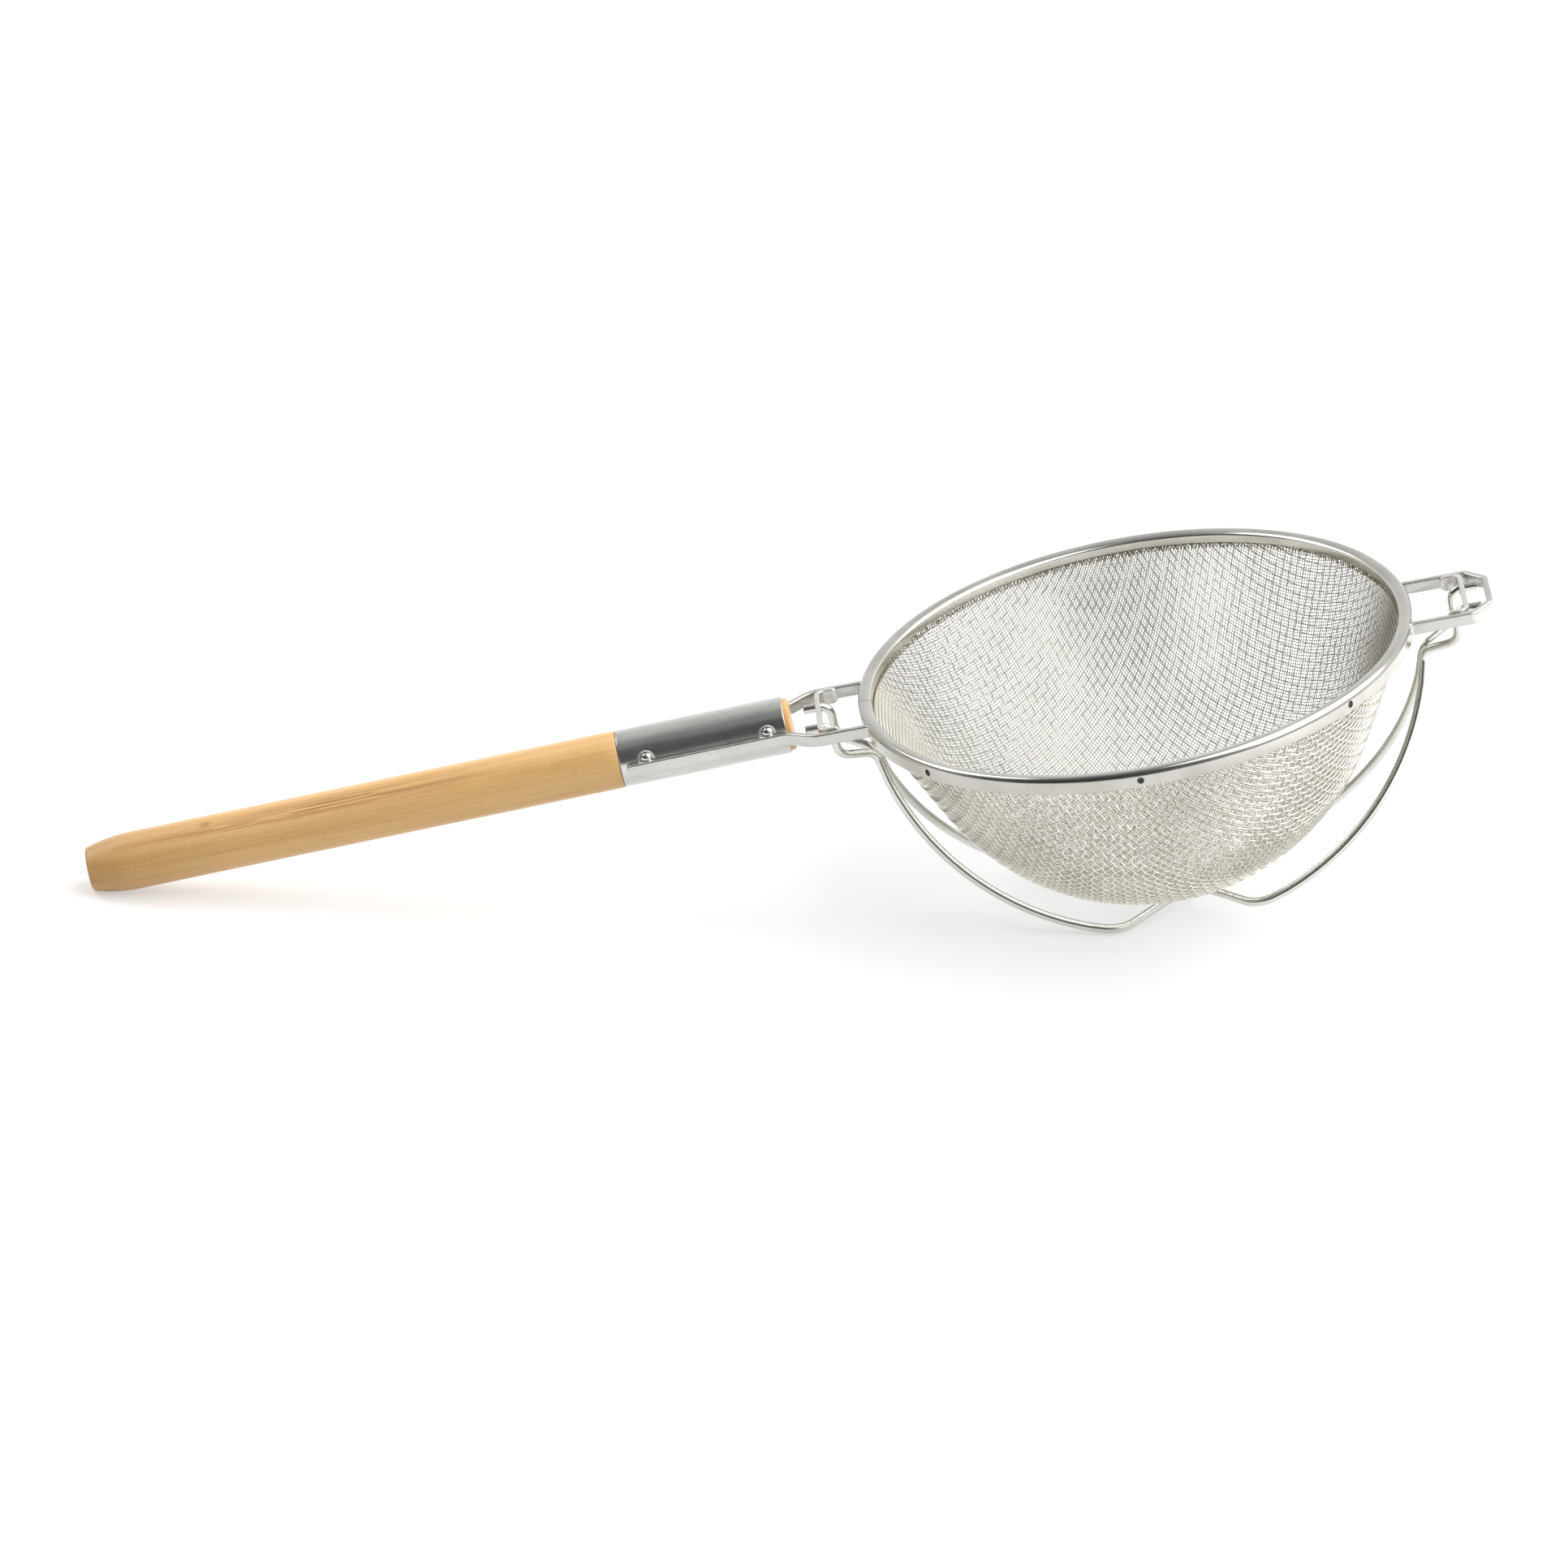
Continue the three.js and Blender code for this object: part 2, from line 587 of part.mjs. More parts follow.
// The pitch at which the handle's tip and the handle-side feet stand on one level.
function restingPitch() {
  const tip = new THREE.Vector2(handleTipX + HANDLE_TIP_LENGTH - handleWebX,
    HANDLE_TIP_CURVE - HANDLE_RADIUS);
  tip.rotateAround(new THREE.Vector2(), HANDLE_DROOP).add(new THREE.Vector2(handleWebX, 0));
  const foot = new THREE.Vector2(cradleX - WIRE_FOOT_X, footZ);
  const span = foot.clone().sub(tip);
  return Math.asin((WIRE_RADIUS - HANDLE_TIP_CURVE) / span.length()) - span.angle();
}

const grip = new THREE.Group();
grip.position.x = handleWebX;
grip.rotation.y = -HANDLE_DROOP;
const gripParts = new THREE.Group();
gripParts.position.x = -handleWebX;
grip.add(gripParts);
const nails = nailPlaces();
const nailHoles = nails.map(nailHole);
gripParts.add(named('handle', cut(handleGeometry(), nailHoles), wood));
gripParts.add(named('ferrule', cut(ferruleGeometry(), nailHoles), bright));
nails.forEach((place) => gripParts.add(placedNail(place)));

const strainer = new THREE.Group();
strainer.add(grip);
strainer.add(named('rim_hoop', rimGeometry(), bright));
strainer.add(named('frame_band', bandGeometry(), satin));
strainer.add(named('outer_mesh', skinGeometry(0, OUTER_MESH_THICK), tinned));
strainer.add(named('inner_mesh', skinGeometry(OUTER_MESH_THICK + FIT_GAP, INNER_MESH_THICK), tinned));
strainer.add(named('handle_clip', clipGeometry(handleWebX, -1, HANDLE_LEG_Y), satin));
strainer.add(named('hook_clip', clipGeometry(hookWebX, 1, HOOK_LEG_Y), satin));
strainer.add(named('cradle_wire_lower', wireGeometry(-1, lowerCross), bright));
strainer.add(named('cradle_wire_upper', wireGeometry(1, upperCross), bright));
strainer.rotation.y = -restingPitch();

// The origin is under the middle of the part, on the table.
const part = new THREE.Group();
part.add(strainer);
const box = new THREE.Box3().setFromObject(part, true);
const centre = box.getCenter(new THREE.Vector3());
strainer.position.set(-centre.x, -centre.y, -box.min.z);

export default part;
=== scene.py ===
"""Double-mesh kitchen strainer: smooth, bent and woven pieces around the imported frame."""
import json
import math

import bmesh
import bpy
import numpy as np
from mathutils import Matrix, Vector


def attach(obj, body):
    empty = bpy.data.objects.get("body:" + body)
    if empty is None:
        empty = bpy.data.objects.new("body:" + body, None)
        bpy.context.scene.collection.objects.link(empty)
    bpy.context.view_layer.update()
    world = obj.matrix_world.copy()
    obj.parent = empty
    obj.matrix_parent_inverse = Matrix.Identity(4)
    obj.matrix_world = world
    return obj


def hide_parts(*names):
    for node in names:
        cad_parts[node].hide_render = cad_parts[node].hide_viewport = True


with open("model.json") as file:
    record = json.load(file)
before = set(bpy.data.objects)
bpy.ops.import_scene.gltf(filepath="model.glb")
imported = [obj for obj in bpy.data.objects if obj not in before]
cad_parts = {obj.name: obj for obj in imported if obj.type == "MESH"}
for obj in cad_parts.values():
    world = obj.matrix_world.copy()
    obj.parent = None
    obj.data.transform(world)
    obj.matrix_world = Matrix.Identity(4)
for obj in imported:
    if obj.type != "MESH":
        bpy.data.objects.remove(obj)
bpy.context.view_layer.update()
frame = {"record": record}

MM = 0.001

# Sizes in millimetres, in the rim's frame: the bowl's axis is Z, the band's middle is z = 0
# and the hook is at +X. A cutting tool reaches past the piece that it cuts.
FIT_GAP = 0.3
TOOL_PAST = 1

# Bowl.
FLANGE_RADIUS = 125.7
FLANGE_TOP = 2.1
WALL_TOP = -2
BOWL_DEPTH = 114
CAP_RADIUS = 113.3

# Frame band with the hook.
BAND_THICK = 3
BAND_HEIGHT = 6
BAND_EDGE = 0.7
BAND_CORNER = 4
BAND_JOG_CORNER = 13
BAND_END_CORNER = 1.8
BAND_BACK_INSET = 3
BAND_POCKET = 2.4
HANDLE_LEG_Y = 24.3
HANDLE_JOG = 12
HOOK_LEG_Y = 22.6
HOOK_LEG_END = 157
HOOK_BAR_X = 165.5
HOOK_BAR_Y = 13

# Rim.
RIM_RADIUS = 130
RIM_SHEET = 0.7
RIM_SKIRT = 5.9
RIM_ARCH = 2.0
RIM_SHOULDER = 2.6
RIM_SHOULDER_DROP = 1.3
RIM_BELOW_BAND = 0.4
RIM_LIP = 3.4
RIM_LIP_INSET = 1.7
RIM_SEAM = 0.35
RIM_HOLE_RADIUS = 1.65
RIM_HOLE_STEPS = (-1, 0, 1)
RIM_HOLE_PITCH = math.radians(48.6)
RIM_HOLE_MIDDLE = math.radians(93)
RIM_BOTTOM = -BAND_HEIGHT / 2 - RIM_BELOW_BAND
RIM_LIP_RADIUS = FLANGE_RADIUS - RIM_LIP_INSET - RIM_SHEET
BAND_OUTER = RIM_RADIUS - RIM_SHEET - FIT_GAP
BAND_MIDDLE = BAND_OUTER - BAND_THICK / 2

# Handle, ferrule and nails.
HANDLE_DROOP = math.radians(1.39)
HANDLE_RADIUS = 13.4
HANDLE_TIP_X = -495
HANDLE_TIP_LENGTH = 22
HANDLE_TIP_CURVE = 75
HANDLE_TIP_EDGE = 2
HANDLE_END_LENGTH = 1
HANDLE_END_EASE = 0.3
HANDLE_NOSE_X = -161.4
HANDLE_NOSE_CHAMFER = 1.4
FERRULE_RADIUS = 13.3
FERRULE_SHEET = 0.8
FERRULE_EDGE = 0.35
FERRULE_BACK_X = -242.6
FERRULE_FRONT_X = -164
NAIL_BACK_X = -230.1
NAIL_FRONT_X = -172.8
NAIL_TUCK = 2
NAIL_HEAD_RADIUS = 2.35
NAIL_HEAD_HEIGHT = 1.4
NAIL_SKIRT = 0.8
NAIL_SKIRT_SHARES = (0.8, 0.97)
DIMPLE_DEPTH = 0.5
DIMPLE_INNER = 2.4
DIMPLE_OUTER = 4.2

# Clips, cradle wires and the welds between the wires.
CLIP_SHEET = 2.4
CLIP_HEIGHT = 7.5
CLIP_TAB = 8
CLIP_CORNER = 2.5
CLIP_BEND = 3.8
CLIP_EDGE = 0.4
HANDLE_WEB_X = -147.2
HOOK_WEB_X = 153
WIRE_RADIUS = 2.1
WIRE_CHAMFER = 0.5
WIRE_HOLE_Y = 11.3
WIRE_STUB = 6
WIRE_TURN = 4.2
WIRE_BEND = 5.4
WIRE_DROP = 15.4
WIRE_DROP_TURN = 8
WIRE_RIM_INSET = 17
WIRE_RIM_DROP = 21.5
WIRE_RIM_TURN = 7
WIRE_FOOT_X = 32.5
WIRE_FOOT_Y = 31
WIRE_FOOT_TURN = 17
WIRE_CROSS_TURN = 40
CRADLE_X = (HANDLE_WEB_X + HOOK_WEB_X) / 2
UPPER_CROSS = -BOWL_DEPTH - FIT_GAP - WIRE_RADIUS
LOWER_CROSS = UPPER_CROSS - 2 * WIRE_RADIUS - FIT_GAP
WELD_SIZE = (3.4, 2.4, 1.5)
WELD_INWARD, WELD_DOWN = 0.45, 0.9
WELD_OUT = 0.35 * WIRE_RADIUS
WELD_BELOW = 2
WELD_RIPPLE = 0.12
WELD_RIPPLES = 9

# Woven cloths: pitch, wire radius, turn of the threads about the bowl's axis, and place in the bowl's wall,
# then a thread's sides and steps between crossings, and the pieces that each family of threads is split into.
COARSE = {"pitch": 4.15, "radius": 0.26, "turn": math.radians(41.5), "flange": 125.2, "inset": 0.6,
          "sides": 6, "steps": 4, "pieces": 2}
FINE = {"pitch": 1.465, "radius": 0.155, "turn": math.radians(45.7), "flange": 124.35, "inset": 1.9,
        "sides": 4, "steps": 1, "pieces": 3}
# The hem is a coil of wire about a ring: at is the ring's radius and height, and coil is half of the coil's
# width and height.
# The hem's dark brown colour is painted shade: it stands for the shadow in the crevice between the lip and
# the mesh.
HEM = {"radius": 0.2, "turns": 440, "steps": 8, "sides": 5, "at": (123.6, -2.35), "coil": (0.4, 1.35)}
# A net reaches past the bowl's mouth, measured along the wall from the bottom.
NET_REACH = 200
NET_TRIES = 8

# Smoothness of the pieces.
RIM_SIDES = 240
RIM_EDGE_STEPS = 6
ARCH_STEPS = 16
ROD_SIDES = 96
GRIP_ROWS = 40
NOSE_STEPS = 5
FERRULE_SIDES = 168
FERRULE_ROWS = 150
FERRULE_EDGE_STEPS = 4
STRIP_EDGE_STEPS = 3
NAIL_SIDES = 32
HOLE_SIDES = 32
WIRE_SIDES = 20
WELD_SUBDIVISIONS = 4
STRAND_STEPS = 40
STRAND_CLEAR = 4
HOOP_STEP = math.radians(1.5)
TURN_STEP = math.radians(6)
STRAIGHT = math.radians(0.1)
STEEP = 0.9
EASE_STEPS = 8
SHARP = math.radians(38)
TINY = 1e-9

# Metal finishes: noise sizes in millimetres, and stops as a position with a grey or a colour.
CLOUD_SIZE = (25, 25, 25)
CLOUD_DETAIL = 4.0
CLOUD_STOPS = (0.3, 0.7)
PITS = {"size": (1.6, 0.9, 0.9), "detail": 1.0}
PIT_STOPS = [(0.24, 0.35), (0.31, 1.0)]
STREAKS = {"detail": 3.0, "roughness": 0.65}
STREAK_STOPS = (0.25, 0.75)
METAL_BUMP = 0.05
METAL_RELIEF = 0.2
# Painted highlight on the rim's inner lip: within the lip's radius the rim keeps its full colour, and outside
# it, on the bead and the skirt, it is painted darker.
LIP_HIGHLIGHT_SIZE = (124.6, 124.6, 60)
LIP_HIGHLIGHT_STOPS = [(0.0, 0.67), (0.008, 1.0)]

# Wood finish, along the grip, across it and up.
WOOD_BANDS = {"size": (240, 7, 7), "detail": 3.0, "distortion": 0.5}
WOOD_STOPS = [(0.28, (0.77, 0.445, 0.16)), (0.5, (0.875, 0.545, 0.22)), (0.72, (0.94, 0.62, 0.28))]
GRAIN = {"size": (60, 0.9, 0.9), "detail": 4.0, "roughness": 0.6}
GRAIN_AMOUNT = 0.6
GRAIN_STOPS = [(0.3, (0.86, 0.80, 0.73)), (0.62, 1.0)]
GRAIN_ROUGH_STOPS = [(0.3, 0.46), (0.7, 0.36)]
GRAIN_BUMP = 0.1
GRAIN_RELIEF = 0.3
FLECKS = {"size": (5, 0.5, 0.5), "detail": 1.0}
FLECK_AMOUNT = 0.5
FLECK_STOPS = [(0.27, (0.68, 0.57, 0.45)), (0.34, 1.0)]
HEART = {"size": (38, 1.3, 1.3), "detail": 4.0, "roughness": 0.62, "distortion": 0.7}
HEART_SPOT = {"at": (-380, -7.4, 11.2), "size": (110, 6, 5)}
HEART_STOPS = [(0.42, 1.0), (0.58, (0.52, 0.34, 0.25))]
KNOT_SPOT = {"at": (-437, -4.5, 12.6), "size": (3.6, 2.2, 2.2)}
KNOT_STOPS = [(0.0, 1.0), (0.55, (0.76, 0.66, 0.56))]
# The darker tip is partly painted shade, where the eased end turns away from the light, and partly darker end
# grain and varnish.
TIP_SPOT = {"at": (HANDLE_TIP_X, 0, 0), "size": (75, 60, 60)}
TIP_STOPS = [(0.0, 1.0), (0.75, (0.80, 0.76, 0.70))]
WOOD_COAT = 0.2
WOOD_COAT_ROUGH = 0.28

# The floor, in metres. It is matt, and it glows where it is seen, more so on the right.
FLOOR_HALF = 12.0
FLOOR_DROP = 0.0001
FLOOR_MATT = 0.6
FLOOR_GLOW = 0.46
FLOOR_GLOW_RIGHT = 1.0
FLOOR_RISE = (0.3, 0.65)
FLOOR_BOUNCE = 0.1

# The room: bright away from its dark part, which lies behind the camera and to its left.
DARK_TOWARDS = Vector((-0.47, -0.77, 0.43))
ROOM_STOPS = [(0.0, 1.2), (0.18, 1.05), (0.465, 0.71), (0.71, 0.4),
              (0.815, 0.26), (0.877, 0.18), (0.953, 0.09), (1.0, 0.06)]

# Soft boxes: direction from the strainer, then distance, width and height in metres, and radiance.
LAMPS = {
    "soft_box_right": ((0.68, -0.15, 0.68), 3.0, 4.5, 4.0, 1.98),
    "soft_box_left": ((-0.58, 0.33, 0.74), 3.0, 1.8, 1.8, 2.3),
}

# The camera in the rim's frame: its angles, and its way from the rim's middle to the right, up and back.
CAMERA_TURN = math.radians(2.5387)
CAMERA_TILT = math.radians(25.0613)
CAMERA_ROLL = math.radians(-11.5622)
CAMERA_WAY = (-162.236, -57.789, 5000)
CAMERA_REACH = 100.0
PIXELS_PER_MM = 2.667
PICTURE = 1932
SENSOR = 36.0

# The rim's frame in the row frame, from the record's mount on the hook, and the grip's frame, which droops.
hook_rest = next(m for m in frame["record"]["mounts"] if m["name"] == "hook_rest")
hook_face = Vector((HOOK_BAR_X, 0, -BAND_HEIGHT / 2)) * MM
PITCH = math.atan2(hook_rest["axis"][0], -hook_rest["axis"][2])
RIM_PLACE = Matrix.Rotation(-PITCH, 4, "Y")
RIM_PLACE.translation = Vector(hook_rest["pos_m"]) - RIM_PLACE @ hook_face
web_place = Matrix.Translation((HANDLE_WEB_X * MM, 0, 0))
GRIP_PLACE = RIM_PLACE @ web_place @ Matrix.Rotation(-HANDLE_DROOP, 4, "Y") @ web_place.inverted()
GRIP_TILT = PITCH + HANDLE_DROOP

# Bare metals: colour of the clouds, least and most roughness, and size of the drawn or rolled lines.
METALS = {
    "ferrule_steel": {"dark": (0.565, 0.57, 0.545), "light": (0.68, 0.68, 0.655), "rough": (0.16, 0.28),
                      "grain": (90, 0.8, 0.8), "cloud": (30, 6, 6), "tilt": GRIP_TILT, "specks": 0.5},
    # The rim's colours are those of its brightly lit inner lip; the rest of the rim is painted darker, a
    # painted shade.
    "rim_steel": {"dark": (0.686, 0.67, 0.615), "light": (0.857, 0.84, 0.785), "rough": (0.12, 0.22),
                  "grain": (50, 50, 0.45), "bump": 0.12, "tilt": PITCH, "lip_highlight": LIP_HIGHLIGHT_SIZE},
    "band_steel": {"dark": (0.52, 0.52, 0.49), "light": (0.635, 0.635, 0.605), "rough": (0.22, 0.36),
                   "grain": (4, 4, 1.1), "bump": 0.1, "specks": 0.4},
    "clip_steel": {"dark": (0.66, 0.655, 0.62), "light": (0.76, 0.755, 0.72), "rough": (0.24, 0.38),
                   "grain": (3, 3, 1.1), "bump": 0.1, "specks": 0.4},
    "cradle_steel": {"dark": (0.60, 0.595, 0.555), "light": (0.72, 0.715, 0.68), "rough": (0.08, 0.18),
                     "grain": (2, 2, 2)},
    "nail_steel": {"dark": (0.74, 0.74, 0.71), "light": (0.84, 0.84, 0.81), "rough": (0.08, 0.16),
                   "grain": (1, 1, 1)},
    "weld_steel": {"dark": (0.62, 0.615, 0.58), "light": (0.84, 0.835, 0.81), "rough": (0.12, 0.3),
                   "grain": (0.8, 0.8, 0.8), "bump": 0.3},
    "outer_mesh_wire": {"dark": (0.69, 0.665, 0.59), "light": (0.83, 0.805, 0.735), "rough": (0.1, 0.19),
                        "grain": (1, 1, 1)},
    "inner_mesh_wire": {"dark": (0.44, 0.425, 0.37), "light": (0.56, 0.545, 0.48), "rough": (0.26, 0.36),
                        "grain": (1, 1, 1)},
    # The hem wire's dark brown is painted shade of the crevice under the rim's lip.
    "hem_wire_painted_shade": {"dark": (0.22, 0.17, 0.09), "light": (0.38, 0.315, 0.20), "rough": (0.25, 0.4),
                 "grain": (1, 1, 1)},
}


# Pieces.

def piece(name, verts, faces, finish, nodes=(), place=RIM_PLACE):
    """A mesh piece from points in millimetres, riding on the root body in place of its CAD nodes."""
    obj = solid(name, verts, faces, place)
    obj.data.materials.append(finish)
    smooth(obj.data)
    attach(obj, "root")
    if nodes:
        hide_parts(*nodes)
    return obj


def solid(name, verts, faces, place):
    """A closed mesh object whose points are moved into the row frame, facing out."""
    points = np.asarray(verts, float) * MM @ np.array(place.to_3x3()).T + np.array(place.translation)
    mesh = bpy.data.meshes.new(name)
    mesh.from_pydata(points.tolist(), [], faces)
    face_out(mesh)
    obj = bpy.data.objects.new(name, mesh)
    bpy.context.scene.collection.objects.link(obj)
    return obj


def face_out(mesh):
    """Turns all faces of a closed mesh outward."""
    work = bmesh.new()
    work.from_mesh(mesh)
    bmesh.ops.recalc_face_normals(work, faces=work.faces)
    work.to_mesh(mesh)
    work.free()


def smooth(mesh):
    """Smooth shading with the real edges kept sharp."""
    mesh.shade_smooth()
    mesh.set_sharp_from_angle(angle=SHARP)


def ring_faces(rows, cols, joined=False):
    """Quads between closed rings of cols points; joined closes the last ring on the first."""
    i = np.arange(rows if joined else rows - 1)[:, None]
    j = np.arange(cols)[None, :]
    after, beside = (i + 1) % rows, (j + 1) % cols
    corners = [i * cols + j, i * cols + beside, after * cols + beside, after * cols + j]
    return np.stack([np.broadcast_to(c, (len(i), cols)) for c in corners], -1).reshape(-1, 4).tolist()


def capped(rows, cols):
    """Ring quads with a face on each end."""
    last = (rows - 1) * cols
    return ring_faces(rows, cols) + [list(range(cols))[::-1], list(range(last, last + cols))]


def turned(profile, sides, along_x=False):
    """Rings of (radius, height) pairs about Z, or about X."""
    r, z = np.array(profile, float).T
    angle = np.arange(sides) * 2 * math.pi / sides
    across, up = r[:, None] * np.cos(angle), r[:, None] * np.sin(angle)
    level = np.broadcast_to(z[:, None], across.shape)
    order = (level, across, up) if along_x else (across, up, level)
    return np.stack(order, -1).reshape(-1, 3)


def arc(centre, radii, start, stop, steps):
    """Points of an ellipse's arc about a centre."""
    angle = np.linspace(start, stop, steps + 1)
    x, y = centre[0] + radii[0] * np.cos(angle), centre[1] + radii[1] * np.sin(angle)
    return np.stack([x, y], -1).tolist()


def rounded_box(wide, tall, edge):
    """A box section with rounded edges."""
    x, y = wide / 2 - edge, tall / 2 - edge
    quarter = math.pi / 2
    points = []
    for k, corner in enumerate(((x, y), (-x, y), (-x, -y), (x, -y))):
        points += arc(corner, (edge, edge), k * quarter, (k + 1) * quarter, STRIP_EDGE_STEPS)
    return np.array(points)


def circle(radius, sides):
    """A round section."""
    return np.array(arc((0, 0), (radius, radius), 0, 2 * math.pi, sides)[:-1])


def bent_path(corners):
    """Points along corners given as (point, bend radius)."""
    points = []
    for i, (at, turn) in enumerate(corners):
        at = Vector(at)
        into = (at - Vector(corners[max(i - 1, 0)][0])).normalized()
        out = (Vector(corners[min(i + 1, len(corners) - 1)][0]) - at).normalized()
        angle = into.angle(out, 0)
        if not turn or angle < STRAIGHT:
            points.append(at)
            continue
        side = (out - into * out.dot(into)).normalized()
        start = at - into * turn * math.tan(angle / 2)
        steps = max(2, math.ceil(angle / TURN_STEP))
        for k in range(steps + 1):
            swing = angle * k / steps
            points.append(start + side * turn * (1 - math.cos(swing)) + into * turn * math.sin(swing))
    return np.array([list(p) for p in points])


def tangents(points):
    """Directions along a path, shared between the steps on both sides of a point."""
    steps = np.diff(points, axis=0)
    steps /= np.linalg.norm(steps, axis=1, keepdims=True)
    along = np.concatenate([steps[:1], steps[:-1] + steps[1:], steps[-1:]])
    return along / np.linalg.norm(along, axis=1, keepdims=True)


def carried(points):
    """Two directions across a path, carried along it without twist."""
    along = tangents(points)
    first = np.cross(along[0], (0, 0, 1) if abs(along[0][2]) < STEEP else (0, 1, 0))
    side = [first / np.linalg.norm(first)]
    for t in along[1:]:
        s = side[-1] - t * np.dot(side[-1], t)
        side.append(s / np.linalg.norm(s))
    side = np.array(side)
    return side, np.cross(along, side)


def upright(points):
    """Directions across a level path: sideways and up."""
    up = np.broadcast_to(np.array([0.0, 0.0, 1.0]), points.shape)
    side = np.cross(up, tangents(points))
    return side / np.linalg.norm(side, axis=1, keepdims=True), up


def swept(points, section, frames):
    """Rings of a section, one for all points or one for each, along a path."""
    side, up = frames
    section = np.broadcast_to(section, (len(points),) + np.shape(section)[-2:])
    rings = points[:, None] + side[:, None] * section[..., :1] + up[:, None] * section[..., 1:]
    return rings.reshape(-1, 3)


def strip(line, thick, tall, edge, corner):
    """Rings of a flat strip on its edge along a level line, with round corners at both ends."""
    ease = corner * (1 - np.cos(np.linspace(0, math.pi / 2, EASE_STEPS)))[1:]
    first, last = tangents(line)[[0, -1]]
    points = np.concatenate([line[:1], line[0] + ease[:, None] * first, line[1:-1],
                             (line[-1] - ease[:, None] * last)[::-1], line[-1:]])
    from_end = np.concatenate([[0], ease, np.full(len(line) - 2, corner), ease[::-1], [0]])
    lost = corner - np.sqrt(np.maximum(corner ** 2 - (corner - from_end) ** 2, 0))
    section = np.stack([rounded_box(thick, tall - 2 * d, edge) for d in lost])
    return swept(points, section, upright(points)), capped(len(points), section.shape[1])


def carve(obj, cutters):
    """Cuts closed tools out of a piece."""
    for tool in cutters:
        cut = obj.modifiers.new(tool.name, "BOOLEAN")
        cut.operation = "DIFFERENCE"
        cut.solver = "EXACT"
        cut.object = tool
    ready = obj.evaluated_get(bpy.context.evaluated_depsgraph_get())
    carved = bpy.data.meshes.new_from_object(ready)
    carved.name = obj.name
    obj.modifiers.clear()
    obj.data = carved
    smooth(carved)
    for tool in cutters:
        bpy.data.objects.remove(tool)


def rod_tool(name, start, stop, radius):
    """A cutting rod between two points."""
    points = np.array([start, stop], float)
    verts = swept(points, circle(radius, HOLE_SIDES), carried(points))
    return solid(name, verts, capped(len(points), HOLE_SIDES), RIM_PLACE)


def box_tool(name, low, high):
    """A cutting box between two corners."""
    foot = ((low[0], low[1]), (high[0], low[1]), (high[0], high[1]), (low[0], high[1]))
    corners = [(x, y, z) for z in (low[2], high[2]) for x, y in foot]
    return solid(name, corners, capped(2, len(foot)), RIM_PLACE)


# Procedural finishes.

class Nodes:
    """A node tree, with short ways to add what the finishes are made of."""

    def __init__(self, tree, tilt=0.0):
        self.tree = tree
        self.tilt = tilt

    def add(self, kind, **settings):
        """A new node with some of its settings."""
        node = self.tree.nodes.new(kind)
        for key, value in settings.items():
            setattr(node, key, value)
        return node

    def join(self, source, target):
        """A link from an output to an input."""
        self.tree.links.new(source, target)

    def framed(self, size, at=(0, 0, 0)):
        """Places about a point, in a frame tilted up along X, in a unit of millimetres along each axis."""
        where = self.add("ShaderNodeTexCoord")
        place = self.add("ShaderNodeMapping", vector_type="TEXTURE")
        place.inputs["Location"].default_value = at
        place.inputs["Rotation"].default_value = (0, -self.tilt, 0)
        place.inputs["Scale"].default_value = [length * MM for length in size]
        self.join(where.outputs["Object"], place.inputs["Vector"])
        return place.outputs["Vector"]

    def noise(self, size, detail=3.0, roughness=0.55, distortion=0.0):
        """Noise with its own size along each axis."""
        noise = self.add("ShaderNodeTexNoise")
        noise.inputs["Scale"].default_value = 1.0
        noise.inputs["Detail"].default_value = detail
        noise.inputs["Roughness"].default_value = roughness
        noise.inputs["Distortion"].default_value = distortion
        self.join(self.framed(size), noise.inputs["Vector"])
        return noise.outputs["Fac"]

    def spot(self, place, at, size):
        """A soft spot: 1 at a point of a placed frame, fading to 0 at its own size along each axis."""
        fade = self.add("ShaderNodeTexGradient", gradient_type="SPHERICAL")
        self.join(self.framed(size, place @ (Vector(at) * MM)), fade.inputs["Vector"])
        return fade.outputs["Fac"]

    def ramp(self, source, stops):
        """A colour ramp from (position, colour) stops; a plain number is a grey."""
        node = self.add("ShaderNodeValToRGB")
        elements = node.color_ramp.elements
        while len(elements) < len(stops):
            elements.new(1.0)
        for element, (position, colour) in zip(elements, stops):
            element.position = position
            element.color = (*colour, 1) if isinstance(colour, tuple) else (colour, colour, colour, 1)
        self.join(source, node.inputs["Fac"])
        return node.outputs["Color"]

    def tinted(self, colour, amount, source, stops):
        """A colour multiplied with a ramp over a source, as far as an amount or a mask says."""
        mix = self.add("ShaderNodeMix", data_type="RGBA", blend_type="MULTIPLY")
        sockets = {socket.identifier: socket for socket in mix.inputs}
        self.join(colour, sockets["A_Color"])
        self.join(self.ramp(source, stops), sockets["B_Color"])
        if isinstance(amount, float):
            sockets["Factor_Float"].default_value = amount
        else:
            self.join(amount, sockets["Factor_Float"])
        return next(socket for socket in mix.outputs if socket.identifier == "Result_Color")

    def bump(self, height, strength, relief, shader):
        """Relief, in millimetres, on a shader's surface."""
        bump = self.add("ShaderNodeBump")
        bump.inputs["Strength"].default_value = strength
        bump.inputs["Distance"].default_value = relief * MM
        self.join(height, bump.inputs["Height"])
        self.join(bump.outputs["Normal"], shader.inputs["Normal"])

    def spread(self, value, ends, start, stop):
        """A value between two ends, spread from a start to a stop; each is a number or a socket."""
        node = self.add("ShaderNodeMapRange")
        settings = {"Value": value, "From Min": ends[0], "From Max": ends[1], "To Min": start, "To Max": stop}
        for key, setting in settings.items():
            if isinstance(setting, float):
                node.inputs[key].default_value = setting
            else:
                self.join(setting, node.inputs[key])
        return node.outputs["Result"]


def new_finish(name, tilt):
    """A new material, the tools for its nodes, and its shader."""
    finish = bpy.data.materials.new(name)
    finish.use_nodes = True
    tree = finish.node_tree
    return finish, Nodes(tree, tilt), tree.nodes["Principled BSDF"]


